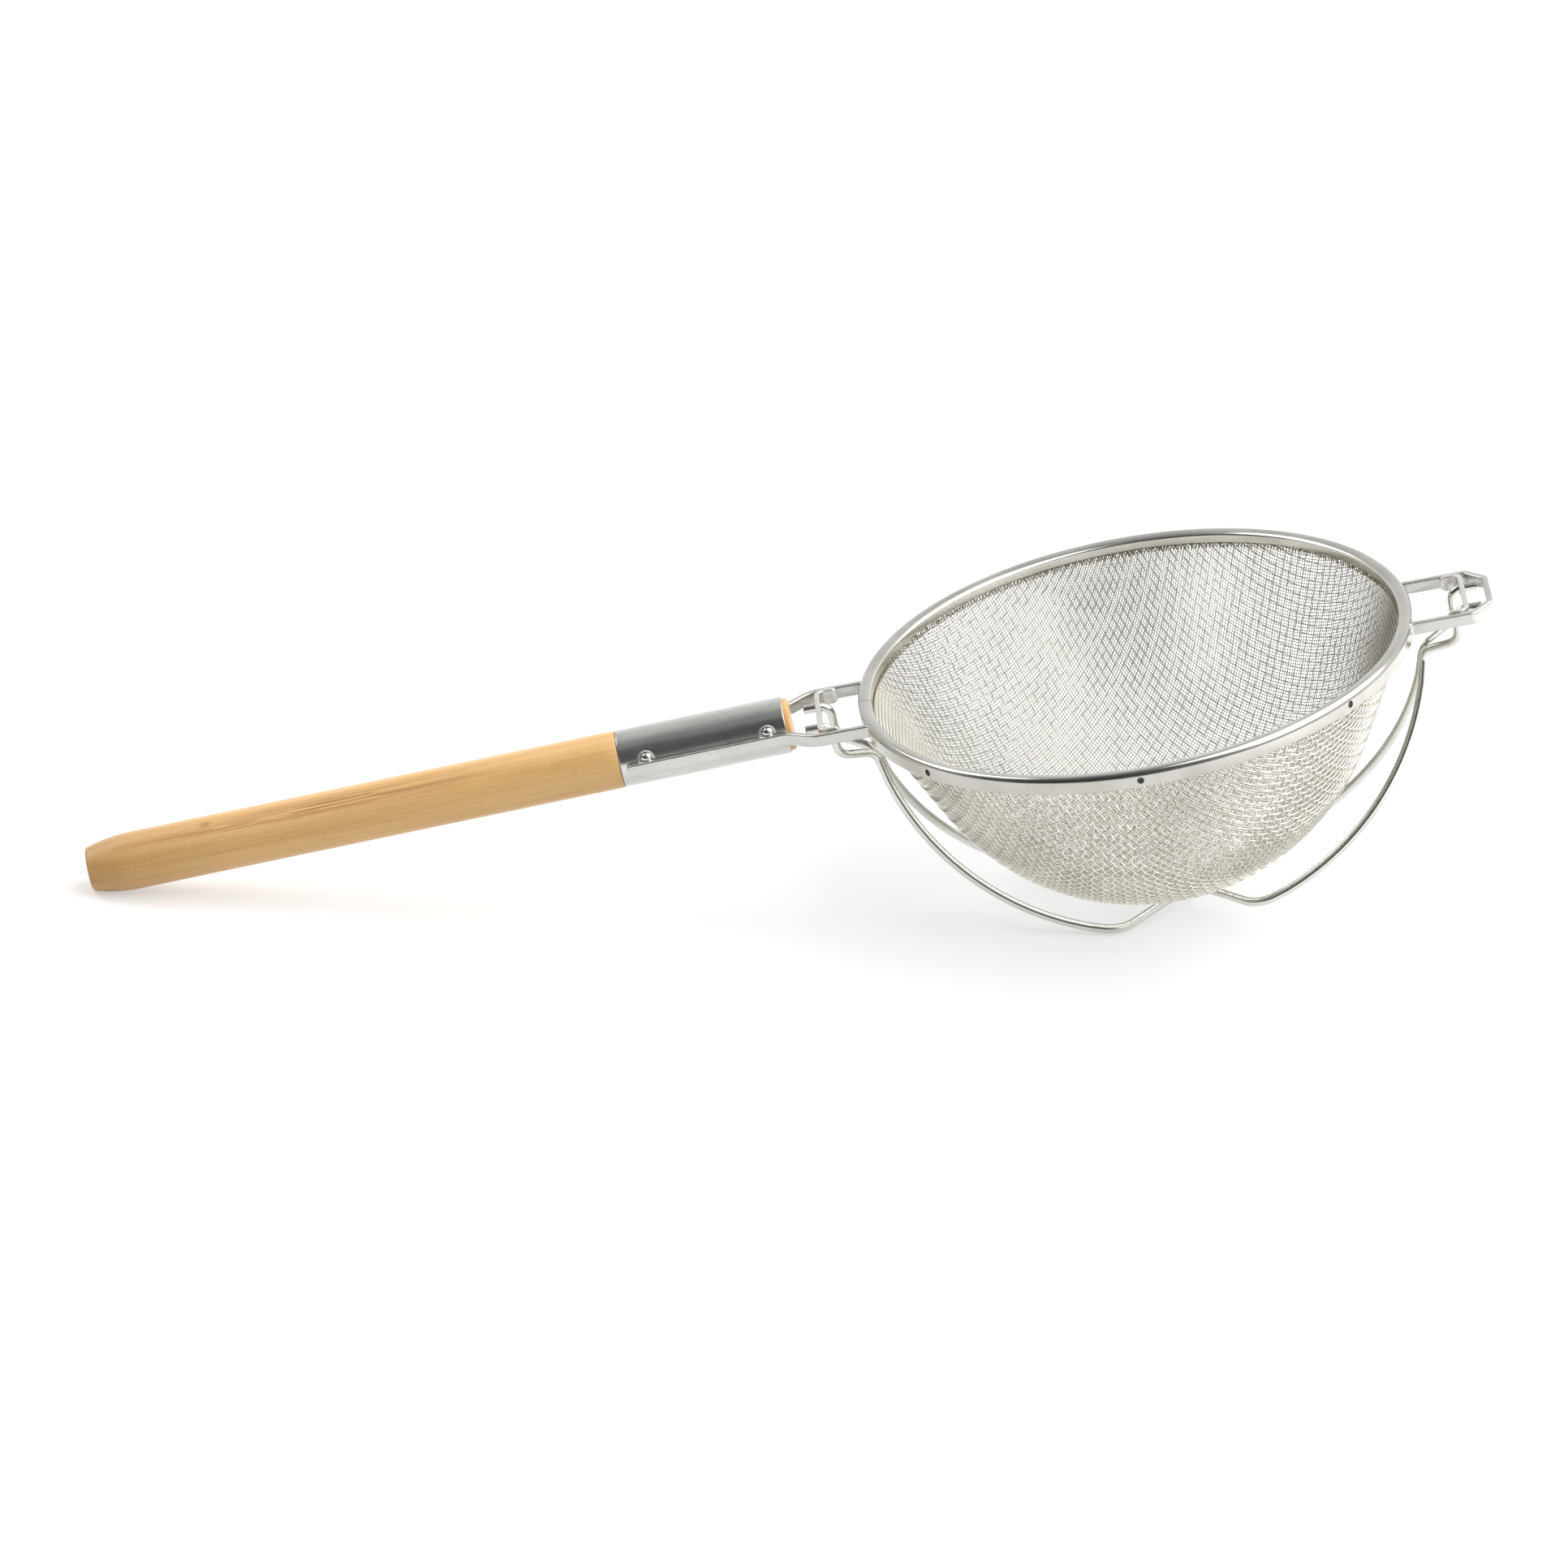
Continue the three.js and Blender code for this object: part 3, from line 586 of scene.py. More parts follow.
def metal(name, dark, light, rough, grain, bump=METAL_BUMP, cloud=CLOUD_SIZE, tilt=0.0, specks=0.0,
          lip_highlight=None):
    """Bare metal: clouded colour, streaked roughness, fine drawn or rolled lines, dark specks, and a painted
    highlight that keeps the rim's inner lip at full colour and paints the rest of the rim darker."""
    finish, nodes, shader = new_finish(name, tilt)
    shader.inputs["Metallic"].default_value = 1.0
    colour = nodes.ramp(nodes.noise(cloud, CLOUD_DETAIL), list(zip(CLOUD_STOPS, (dark, light))))
    if specks:
        colour = nodes.tinted(colour, specks, nodes.noise(**PITS), PIT_STOPS)
    # Painted highlight on the rim's inner lip: outside the lip's radius the metal is painted darker.
    if lip_highlight:
        colour = nodes.tinted(colour, 1.0, nodes.spot(RIM_PLACE, (0, 0, 0), lip_highlight), LIP_HIGHLIGHT_STOPS)
    nodes.join(colour, shader.inputs["Base Color"])
    streaks = nodes.noise(grain, **STREAKS)
    nodes.join(nodes.ramp(streaks, list(zip(STREAK_STOPS, rough))), shader.inputs["Roughness"])
    nodes.bump(streaks, bump, METAL_RELIEF, shader)
    return finish


def beech(name):
    """Turned beech: bands, fine grain, short dark flecks, a brown heart streak, a knot, and a darker tip that
    is partly painted shade and partly darker end grain.
    """
    finish, nodes, shader = new_finish(name, GRIP_TILT)
    grain = nodes.noise(**GRAIN)
    wood = nodes.ramp(nodes.noise(**WOOD_BANDS), WOOD_STOPS)
    wood = nodes.tinted(wood, GRAIN_AMOUNT, grain, GRAIN_STOPS)
    wood = nodes.tinted(wood, FLECK_AMOUNT, nodes.noise(**FLECKS), FLECK_STOPS)
    wood = nodes.tinted(wood, nodes.spot(GRIP_PLACE, **HEART_SPOT), nodes.noise(**HEART), HEART_STOPS)
    wood = nodes.tinted(wood, 1.0, nodes.spot(GRIP_PLACE, **KNOT_SPOT), KNOT_STOPS)
    # Darker tip: partly painted shade and partly darker end grain.
    wood = nodes.tinted(wood, 1.0, nodes.spot(GRIP_PLACE, **TIP_SPOT), TIP_STOPS)
    nodes.join(wood, shader.inputs["Base Color"])
    nodes.join(nodes.ramp(grain, GRAIN_ROUGH_STOPS), shader.inputs["Roughness"])
    shader.inputs["Coat Weight"].default_value = WOOD_COAT
    shader.inputs["Coat Roughness"].default_value = WOOD_COAT_ROUGH
    nodes.bump(grain, GRAIN_BUMP, GRAIN_RELIEF, shader)
    return finish


WOOD = beech("beech")
METAL = {name: metal(name, **look) for name, look in METALS.items()}


# Handle, ferrule and nails.

def make_handle():
    """The grip with its eased tip, and the tenon with its round nose."""
    def drop(d):
        return HANDLE_TIP_CURVE - math.sqrt(HANDLE_TIP_CURVE ** 2 - d ** 2)

    curve_x = HANDLE_TIP_X + HANDLE_TIP_LENGTH
    back = np.linspace(HANDLE_TIP_LENGTH - HANDLE_TIP_EDGE, 0, ARCH_STEPS)
    ease = [(HANDLE_RADIUS - drop(d), curve_x - d) for d in back]
    edge_centre = (HANDLE_TIP_X + HANDLE_TIP_EDGE, ease[0][0] - HANDLE_TIP_EDGE)
    edge = arc(edge_centre, (HANDLE_TIP_EDGE,) * 2, math.pi, math.pi / 2, ARCH_STEPS // 2)
    grip_x = np.linspace(curve_x, FERRULE_BACK_X - HANDLE_END_LENGTH, GRIP_ROWS)[1:]
    end_x = FERRULE_BACK_X - FIT_GAP
    tenon = FERRULE_RADIUS - FERRULE_SHEET - FIT_GAP
    nose_x = HANDLE_NOSE_X - HANDLE_NOSE_CHAMFER
    profile = [(r, x) for x, r in edge] + ease[1:] + [(HANDLE_RADIUS, x) for x in grip_x]
    profile += [(HANDLE_RADIUS - HANDLE_END_EASE, end_x), (tenon, end_x), (tenon, nose_x)]
    for a in np.linspace(0, math.pi / 2, NOSE_STEPS + 1)[1:]:
        shrink = HANDLE_NOSE_CHAMFER * (1 - math.cos(a))
        profile.append((tenon - shrink, nose_x + HANDLE_NOSE_CHAMFER * math.sin(a)))
    verts = turned(profile, ROD_SIDES, along_x=True)
    faces = capped(len(profile), ROD_SIDES)
    piece("wooden_handle", verts, faces, WOOD, ["handle"], GRIP_PLACE)


def nail_places():
    """Place along X and direction out of the ferrule for each nail."""
    lift = math.asin((BAND_HEIGHT / 2 + FIT_GAP + NAIL_HEAD_RADIUS - NAIL_TUCK) / FERRULE_RADIUS)
    places = {}
    for side_name, side in (("near", -1), ("far", 1)):
        for end_name, x in (("back", NAIL_BACK_X), ("front", NAIL_FRONT_X)):
            places[f"nail_{side_name}_{end_name}"] = (x, Vector((0, side * math.cos(lift), math.sin(lift))))
    return places


def make_ferrule():
    """The sleeve, with rounded outer edges and a dimple round each nail."""
    inner = FERRULE_RADIUS - FERRULE_SHEET
    back, front = FERRULE_BACK_X + FERRULE_EDGE, FERRULE_FRONT_X - FERRULE_EDGE
    edge, edge_r = (FERRULE_EDGE, FERRULE_EDGE), FERRULE_RADIUS - FERRULE_EDGE
    round_front = arc((front, edge_r), edge, math.pi / 2, 0, FERRULE_EDGE_STEPS)[1:]
    round_back = arc((back, edge_r), edge, math.pi, math.pi / 2, FERRULE_EDGE_STEPS)[:-1]
    profile = [(FERRULE_RADIUS, x) for x in np.linspace(back, front, FERRULE_ROWS)]
    profile += [(r, x) for x, r in round_front] + [(inner, FERRULE_FRONT_X), (inner, FERRULE_BACK_X)]
    profile += [(r, x) for x, r in round_back]
    verts = turned(profile, FERRULE_SIDES, along_x=True)
    for x, out in nail_places().values():
        head = np.array([x, *(out * FERRULE_RADIUS).yz])
        away = np.linalg.norm(verts - head, axis=1)
        share = np.clip((DIMPLE_OUTER - away) / (DIMPLE_OUTER - DIMPLE_INNER), 0, 1)
        verts -= (eased(share) * DIMPLE_DEPTH)[:, None] * np.array(out)
    faces = ring_faces(len(profile), FERRULE_SIDES, joined=True)
    piece("ferrule_sleeve", verts, faces, METAL["ferrule_steel"], ["ferrule"], GRIP_PLACE)


def eased(share):
    """A share from 0 to 1 that starts and ends softly."""
    return share ** 2 * (3 - 2 * share)


def make_nails():
    """Domed nail heads, each with a tapered skirt that sits in its dimple."""
    foot, waist = NAIL_SKIRT_SHARES
    dome = arc((0, 0), (NAIL_HEAD_RADIUS, NAIL_HEAD_HEIGHT), 0, math.pi / 2, EASE_STEPS)
    skirt = [(NAIL_HEAD_RADIUS * foot, -NAIL_SKIRT), (NAIL_HEAD_RADIUS * waist, -NAIL_SKIRT / 2)]
    profile = skirt + dome[:-1]
    verts = turned(profile, NAIL_SIDES)
    faces = capped(len(profile), NAIL_SIDES)
    for name, (x, out) in nail_places().items():
        turn = Vector((0, 0, 1)).rotation_difference(out).to_matrix().to_4x4()
        seat = Matrix.Translation((out * (FERRULE_RADIUS + FIT_GAP) + Vector((x, 0, 0))) * MM)
        place = GRIP_PLACE @ seat @ turn
        piece(f"{name}_head", verts, faces, METAL["nail_steel"], [name], place)


# Rim and frame band.

def rim_profile():
    """The rolled sheet: its foot, over the crest to the lip, and back along the inside."""
    spring = RIM_BOTTOM + RIM_SKIRT
    crest = RIM_RADIUS - RIM_SHOULDER
    edge = RIM_SHEET / 2
    outside = np.array([RIM_SHOULDER, RIM_ARCH + RIM_SHOULDER_DROP])
    inside = np.array([crest - RIM_LIP_RADIUS, RIM_ARCH])

    def arch(depth):
        rise = arc((crest, spring - RIM_SHOULDER_DROP), outside - depth, 0, math.pi / 2, ARCH_STEPS)
        return rise + arc((crest, spring), inside - depth, math.pi / 2, math.pi, ARCH_STEPS)[1:]

    def round_edge(radius, low):
        return arc((radius, low + edge), (edge, edge), math.pi, 2 * math.pi, RIM_EDGE_STEPS)

    foot = round_edge(RIM_RADIUS - edge, RIM_BOTTOM)
    lip = round_edge(RIM_LIP_RADIUS + edge, spring - RIM_LIP)
    return foot + arch(0) + lip + arch(RIM_SHEET)[::-1]


def make_rim():
    """The rolled hoop, with its butt seam, slots for the band's legs, and holes."""
    profile = rim_profile()
    verts = turned(profile, RIM_SIDES)
    faces = ring_faces(len(profile), RIM_SIDES, joined=True)
    rim = piece("rolled_rim", verts, faces, METAL["rim_steel"], ["rim_hoop"])
    tall = RIM_SKIRT + RIM_ARCH
    low = (-RIM_RADIUS - TOOL_PAST, -RIM_SEAM / 2, -tall)
    high = (-RIM_LIP_RADIUS + TOOL_PAST, RIM_SEAM / 2, tall)
    seam = box_tool("seam", low, high)
    carve(rim, [seam, *leg_slots(), *hole_tools("hole", BAND_OUTER, RIM_RADIUS + TOOL_PAST)])


def leg_slots():
    """Tools for the slots in the rim's skirt, where the band's legs pass out."""
    tools = []
    deep = RIM_RADIUS - BAND_MIDDLE
    for side in (-1, 1):
        for end, leg in ((-1, HANDLE_LEG_Y), (1, HOOK_LEG_Y)):
            skirt = math.sqrt(RIM_RADIUS ** 2 - leg ** 2)
            near, far = leg - BAND_THICK / 2 - FIT_GAP, leg + BAND_THICK / 2 + BAND_CORNER
            low = (end * skirt - deep, min(side * near, side * far), RIM_BOTTOM - TOOL_PAST)
            high = (end * skirt + deep, max(side * near, side * far), BAND_HEIGHT / 2 + FIT_GAP)
            tools.append(box_tool("slot", low, high))
    return tools


def hole_tools(name, start, stop):
    """Rods through the rim's holes, between two distances from the bowl's axis."""
    tools = []
    for side in (-1, 1):
        for step in RIM_HOLE_STEPS:
            angle = side * (RIM_HOLE_MIDDLE + step * RIM_HOLE_PITCH)
            out = np.array([math.cos(angle), math.sin(angle), 0])
            tools.append(rod_tool(name, out * start, out * stop, RIM_HOLE_RADIUS))
    return tools


def band_points():
    """The band's line: along the ferrule, out to the rim, round inside it to the hook, and back."""
    on_ferrule = FERRULE_RADIUS + FIT_GAP + BAND_THICK / 2

    def hoop_x(y):
        return math.sqrt(BAND_MIDDLE ** 2 - y ** 2)

    def half(side):
        bend = (BAND_CORNER + BAND_THICK) / BAND_MIDDLE
        first = math.pi - math.asin(HANDLE_LEG_Y / BAND_MIDDLE) - bend
        last = math.asin(HOOK_LEG_Y / BAND_MIDDLE) + bend
        sweep = np.linspace(first, last, math.ceil((first - last) / HOOP_STEP))
        return [
            ((FERRULE_BACK_X + BAND_BACK_INSET, side * on_ferrule, 0), 0),
            ((FERRULE_FRONT_X, side * on_ferrule, 0), BAND_JOG_CORNER),
            ((FERRULE_FRONT_X + HANDLE_JOG, side * HANDLE_LEG_Y, 0), BAND_JOG_CORNER),
            ((-hoop_x(HANDLE_LEG_Y), side * HANDLE_LEG_Y, 0), BAND_CORNER),
            *[((BAND_MIDDLE * math.cos(a), side * BAND_MIDDLE * math.sin(a), 0), 0) for a in sweep],
            ((hoop_x(HOOK_LEG_Y), side * HOOK_LEG_Y, 0), BAND_CORNER),
            ((HOOK_LEG_END, side * HOOK_LEG_Y, 0), BAND_CORNER),
            ((HOOK_BAR_X, side * HOOK_BAR_Y, 0), BAND_CORNER),
        ]

    return bent_path(half(-1) + half(1)[::-1])


def make_band():
    """The band, drooping with the handle behind the clip, with a pocket behind each hole in the rim."""
    verts, faces = strip(band_points(), BAND_THICK, BAND_HEIGHT, BAND_EDGE, BAND_END_CORNER)
    verts[:, 2] -= np.maximum(HANDLE_WEB_X - verts[:, 0], 0) * math.tan(HANDLE_DROOP)
    band = piece("frame_strip", verts, faces, METAL["band_steel"], ["frame_band"])
    carve(band, hole_tools("pocket", BAND_OUTER - BAND_POCKET, BAND_OUTER + TOOL_PAST))


# Clips and cradle wires.

def make_clip(name, node, web_x, end, leg_y):
    """A bracket between the band's legs: a web across them, a tab along each, and two holes for the wires."""
    wide = leg_y - BAND_THICK / 2 - FIT_GAP - CLIP_SHEET / 2
    web = web_x + end * CLIP_SHEET / 2
    tip = web_x - end * CLIP_TAB
    line = bent_path([((tip, -wide, 0), 0), ((web, -wide, 0), CLIP_BEND),
                      ((web, wide, 0), CLIP_BEND), ((tip, wide, 0), 0)])
    verts, faces = strip(line, CLIP_SHEET, CLIP_HEIGHT, CLIP_EDGE, CLIP_CORNER)
    clip = piece(name, verts, faces, METAL["clip_steel"], [node])
    low, high = web - 2 * CLIP_SHEET, web + 2 * CLIP_SHEET
    carve(clip, [rod_tool("wire_hole", (low, y, 0), (high, y, 0), WIRE_RADIUS + FIT_GAP)
                 for y in (-WIRE_HOLE_Y, WIRE_HOLE_Y)])


def strand(rim, foot):
    """Points from the rim bend round the cradle's middle to the foot, without its ends."""
    middle = Vector((CRADLE_X, 0, 0))
    start, stop = rim - middle, foot - middle
    angle = start.angle(stop)
    points = []
    for k in range(STRAND_CLEAR, STRAND_STEPS - STRAND_CLEAR + 1):
        share = k / STRAND_STEPS
        radius = start.length + (stop.length - start.length) * share
        way = start.normalized() * math.sin((1 - share) * angle) + stop.normalized() * math.sin(share * angle)
        points.append((middle + way * radius / math.sin(angle), 0))
    return points


def rim_bend(end):
    """Where a wire turns down under the rim, on the cradle's middle line."""
    web = HANDLE_WEB_X if end < 0 else HOOK_WEB_X
    return Vector((web - end * (WIRE_TURN + WIRE_RIM_INSET), 0, -WIRE_RIM_DROP))


def wire_end(end, side):
    """Corners of half a wire: from its stub in a clip down to the rim bend and on to the foot."""
    web = HANDLE_WEB_X if end < 0 else HOOK_WEB_X
    upright_x = web - end * WIRE_TURN
    y = side * WIRE_HOLE_Y
    rim = rim_bend(end) + Vector((0, side * (WIRE_RADIUS + FIT_GAP / 2), 0))
    foot = Vector((CRADLE_X + end * WIRE_FOOT_X, side * WIRE_FOOT_Y, LOWER_CROSS))
    stub = web + end * (CLIP_SHEET + WIRE_STUB)
    return [
        ((stub, y, 0), 0),
        ((stub - end * WIRE_CHAMFER, y, 0), 0),
        ((upright_x, y, 0), WIRE_BEND),
        ((upright_x, y, -WIRE_DROP), WIRE_DROP_TURN),
        (rim, WIRE_RIM_TURN),
        *strand(rim, foot),
        (foot, WIRE_FOOT_TURN),
    ]


def make_wire(name, node, handle_side, cross_z):
    """A wire from one clip to the other, which changes sides where it crosses under the bowl."""
    crossing = [((CRADLE_X, 0, cross_z), WIRE_CROSS_TURN)]
    points = bent_path(wire_end(-1, handle_side) + crossing + wire_end(1, -handle_side)[::-1])
    radius = np.full(len(points), WIRE_RADIUS)
    radius[[0, -1]] -= WIRE_CHAMFER
    section = circle(1, WIRE_SIDES) * radius[:, None, None]
    verts = swept(points, section, carried(points))
    piece(name, verts, capped(len(points), WIRE_SIDES), METAL["cradle_steel"], [node])


def make_weld(name, end):
    """A rippled weld bead between the two wires below the rim."""
    work = bmesh.new()
    bmesh.ops.create_icosphere(work, subdivisions=WELD_SUBDIVISIONS, radius=1)
    along = Vector((-end * WELD_INWARD, 0, -WELD_DOWN)).normalized()
    out = Vector((end * WELD_DOWN, 0, -WELD_INWARD)).normalized()
    across = Vector((0, 1, 0))
    middle = rim_bend(end) + out * WELD_OUT + along * WELD_BELOW
    long, wide, thick = WELD_SIZE
    verts = []
    for v in work.verts:
        x, y, z = v.co
        swell = 1 + WELD_RIPPLE * math.sin(WELD_RIPPLES * x) * (1 - x ** 2)
        verts.append(list(middle + along * x * long + across * y * wide * swell + out * z * thick * swell))
    faces = [[v.index for v in f.verts] for f in work.faces]
    work.free()
    piece(name, verts, faces, METAL["weld_steel"])


# Woven cloths. Each is a net of equal meshes laid on the bowl, as a flat cloth shears when it is pressed.

class Bowl:
    """The bowl's surface of revolution: a round cap, a leaning wall and an upright flange."""

    def __init__(self, flange, inset):
        self.flange = flange
        self.cap = CAP_RADIUS - inset
        self.centre = CAP_RADIUS - BOWL_DEPTH
        reach = math.hypot(FLANGE_RADIUS, WALL_TOP - self.centre)
        self.lean = math.acos(CAP_RADIUS / reach) - math.atan2(WALL_TOP - self.centre, FLANGE_RADIUS)
        self.wall_top = self.centre - (self.cap - flange * math.cos(self.lean)) / math.sin(self.lean)
        self.sweep = math.pi / 2 - self.lean
        self.cap_top = self.centre - self.cap * math.sin(self.lean)

    def meridian(self, s):
        """Radius and height at a distance along the surface from the bottom."""
        past = s - self.cap * self.sweep
        on_cap = past < 0
        cap_r = self.cap * math.sin(self.sweep)
        wall = (self.flange - cap_r) / math.sin(self.lean)
        angle = np.minimum(s / self.cap, self.sweep)
        wall_r = np.minimum(cap_r + past * math.sin(self.lean), self.flange)
        wall_z = self.cap_top + past * math.cos(self.lean)
        upper_z = np.where(past < wall, wall_z, self.wall_top + past - wall)
        r = np.where(on_cap, self.cap * np.sin(angle), wall_r)
        z = np.where(on_cap, self.centre - self.cap * np.cos(angle), upper_z)
        return r, z

    def level(self, points):
        """Distance from the surface, and the direction out of it."""
        r = np.hypot(points[..., 0], points[..., 1]) + TINY
        z = points[..., 2]
        low, high = z < self.cap_top, z > self.wall_top
        far = np.hypot(r, z - self.centre)
        on_wall = (r - self.flange) * math.cos(self.lean) - (z - self.wall_top) * math.sin(self.lean)
        distance = np.where(low, far - self.cap, np.where(high, r - self.flange, on_wall))
        out_r = np.where(low, r / far, np.where(high, 1.0, math.cos(self.lean)))
        out_z = np.where(low, (z - self.centre) / far, np.where(high, 0.0, -math.sin(self.lean)))
        return distance, np.stack([out_r * points[..., 0] / r, out_r * points[..., 1] / r, out_z], -1)


def quarter_net(bowl, pitch):
    """One quarter of the net: crossings of the threads that start on two meridians."""
    count = math.ceil(NET_REACH / pitch)
    net = np.full((count + 1, count + 1, 3), np.nan)
    r, z = bowl.meridian(np.arange(count + 1) * pitch)
    net[:, 0] = np.stack([r, 0 * r, z], -1)
    net[0, :] = np.stack([0 * r, r, z], -1)
    for total in range(2, 2 * count + 1):
        i = np.arange(max(1, total - count), min(count, total - 1) + 1)
        j = total - i
        beside, below, behind = net[i - 1, j], net[i, j - 1], net[i - 1, j - 1]
        net[i, j] = next_crossings(bowl, pitch, beside, below, beside + below - behind)
    return net


def next_crossings(bowl, pitch, first, second, guess):
    """Points on the bowl that are one pitch from both neighbours."""
    for _ in range(NET_TRIES):
        distance, out = bowl.level(guess)
        a, b = guess - first, guess - second
        slope = np.stack([2 * a, 2 * b, out], 1)
        miss = np.stack([(a * a).sum(-1) - pitch ** 2, (b * b).sum(-1) - pitch ** 2, distance], 1)
        good = np.isfinite(slope).all((1, 2))
        slope[~good] = np.eye(3)
        good &= np.abs(np.linalg.det(slope)) > TINY
        slope[~good] = np.eye(3)
        guess = np.where(good[:, None], guess - np.linalg.solve(slope, miss[..., None])[..., 0], np.nan)
    return guess


def whole_net(bowl, pitch):
    """All four quarters of the net, mirrored from one."""
    quarter = quarter_net(bowl, pitch)
    count = len(quarter) - 1
    index = np.abs(np.arange(-count, count + 1))
    sign = np.sign(np.arange(-count, count + 1))
    net = quarter[index[:, None], index[None, :]].copy()
    net[..., 0] *= sign[:, None]
    net[..., 1] *= sign[None, :]
    return net


def thread_tube(bowl, points, lift, cloth):
    """Rings of one thread that passes over and under its crossings."""
    steps = cloth["steps"]
    at = np.arange((len(points) - 1) * steps + 1) / steps
    whole = np.arange(len(points))
    line = np.stack([np.interp(at, whole, points[:, k]) for k in range(3)], -1)
    distance, out = bowl.level(line)
    wave = np.interp(at, whole, lift) if steps == 1 else lift[0] * np.cos(math.pi * at)
    line = line + out * (wave - distance)[:, None]
    along = tangents(line)
    side = np.cross(along, out)
    side /= np.linalg.norm(side, axis=1, keepdims=True)
    up = np.cross(side, along)
    return swept(line, circle(cloth["radius"], cloth["sides"]), (side, up)), len(line)


def thread_family(bowl, net, family, cloth):
    """Tubes of all the threads that run one way, up to the top of the flange."""
    inside = np.isfinite(net).all(-1) & (net[..., 2] < FLANGE_TOP)
    threads = []
    for k in range(net.shape[family]):
        kept = np.flatnonzero(np.take(inside, k, family))
        if len(kept) < 2:
            continue
        points = np.take(net, k, family)[kept[0]:kept[-1] + 1]
        if not np.isfinite(points).all():
            continue
        lift = cloth["radius"] * (1 - 2 * ((np.arange(kept[0], kept[-1] + 1) + k + family) % 2))
        threads.append(thread_tube(bowl, points, lift, cloth))
    return threads


def make_cloth(name, node, slot, cloth):
    """A woven cloth: two families of threads, each in a few pieces."""
    bowl = Bowl(cloth["flange"], cloth["inset"])
    net = whole_net(bowl, cloth["pitch"])
    place = RIM_PLACE @ Matrix.Rotation(cloth["turn"], 4, "Z")
    for family, letter in enumerate("ab"):
        threads = thread_family(bowl, net, family, cloth)
        for part, chosen in enumerate(np.array_split(np.arange(len(threads)), cloth["pieces"])):
            some = [threads[k] for k in chosen]
            cloth_piece(f"{name}_{letter}{part}", node, slot, some, cloth["sides"], place)


def cloth_piece(name, node, slot, threads, sides, place):
    """One piece of a cloth: some of its threads, each with its own lane for baking."""
    verts, faces, flat, start = [], [], [], 0
    for lane, (rings, rows) in enumerate(threads):
        verts.append(rings)
        faces += [[v + start for v in face] for face in capped(rows, sides)]
        ring, side = np.divmod(np.arange(rows * sides), sides)
        flat.append(np.stack([ring / rows, (lane + side / (sides + 1)) / len(threads)], -1))
        start += len(rings)
    obj = piece(name, np.concatenate(verts), faces, METAL[slot], [node], place)
    lay_flat(obj.data, np.concatenate(flat), sides, 1 / ((sides + 1) * len(threads)))


def lay_flat(mesh, flat, sides, step):
    """Texture places for baking: one lane for each thread, with the seam closed past its last side."""
    corners = np.empty(len(mesh.loops), int)
    mesh.loops.foreach_get("vertex_index", corners)
    count = np.empty(len(mesh.polygons), int)
    mesh.polygons.foreach_get("loop_total", count)
    first = np.concatenate([[0], np.cumsum(count)[:-1]])
    side = corners % sides
    spread = np.maximum.reduceat(side, first) - np.minimum.reduceat(side, first)
    over_seam = np.repeat((spread == sides - 1) & (count == 4), count) & (side == 0)
    places = flat[corners]
    places[over_seam, 1] += sides * step
    mesh.uv_layers.new(name="OFBake").data.foreach_set("uv", places.ravel())


def make_hem():
    """The cloths' turned-in edge below the lip: a close coil of wire round the bowl's mouth, painted dark
    brown as painted shade of the crevice under the lip.
    """
    count = HEM["turns"] * HEM["steps"]
    way = np.arange(count) * 2 * math.pi / count
    coil = way * HEM["turns"]
    r = HEM["at"][0] + HEM["coil"][0] * np.cos(coil)
    points = np.stack([r * np.cos(way), r * np.sin(way), HEM["at"][1] + HEM["coil"][1] * np.sin(coil)], -1)
    along = np.roll(points, -1, 0) - np.roll(points, 1, 0)
    along /= np.linalg.norm(along, axis=1, keepdims=True)
    round_mouth = np.stack([-np.sin(way), np.cos(way), 0 * way], -1)
    side = np.cross(along, round_mouth)
    side /= np.linalg.norm(side, axis=1, keepdims=True)
    verts = swept(points, circle(HEM["radius"], HEM["sides"]), (side, np.cross(along, side)))
    faces = ring_faces(count, HEM["sides"], joined=True)
    piece("cloth_hem", verts, faces, METAL["hem_wire_painted_shade"])


# Stage: floor, world, lamps and camera.

def pale_floor():
    """Matt, and glowing for the camera and in reflections, more so on the right."""
    finish = bpy.data.materials.new("pale_floor")
    finish.use_nodes = True
    finish.node_tree.nodes.clear()
    nodes = Nodes(finish.node_tree)
    path = nodes.add("ShaderNodeLightPath")
    seen = path.outputs["Is Camera Ray"]
    for ray in ("Is Glossy Ray", "Is Transmission Ray"):
        either = nodes.add("ShaderNodeMath", operation="MAXIMUM")
        nodes.join(seen, either.inputs[0])
        nodes.join(path.outputs[ray], either.inputs[1])
        seen = either.outputs["Value"]
    where = nodes.add("ShaderNodeTexCoord")
    axes = nodes.add("ShaderNodeSeparateXYZ")
    nodes.join(where.outputs["Object"], axes.inputs["Vector"])
    brighter = nodes.spread(axes.outputs["X"], FLOOR_RISE, FLOOR_GLOW, FLOOR_GLOW_RIGHT)
    glow = nodes.add("ShaderNodeEmission")
    nodes.join(nodes.spread(seen, (0.0, 1.0), FLOOR_BOUNCE, brighter), glow.inputs["Strength"])
    matt = nodes.add("ShaderNodeBsdfDiffuse")
    matt.inputs["Color"].default_value = (FLOOR_MATT, FLOOR_MATT, FLOOR_MATT, 1)
    total = nodes.add("ShaderNodeAddShader")
    nodes.join(matt.outputs["BSDF"], total.inputs[0])
    nodes.join(glow.outputs["Emission"], total.inputs[1])
    out = nodes.add("ShaderNodeOutputMaterial")
    nodes.join(total.outputs["Shader"], out.inputs["Surface"])
    return finish


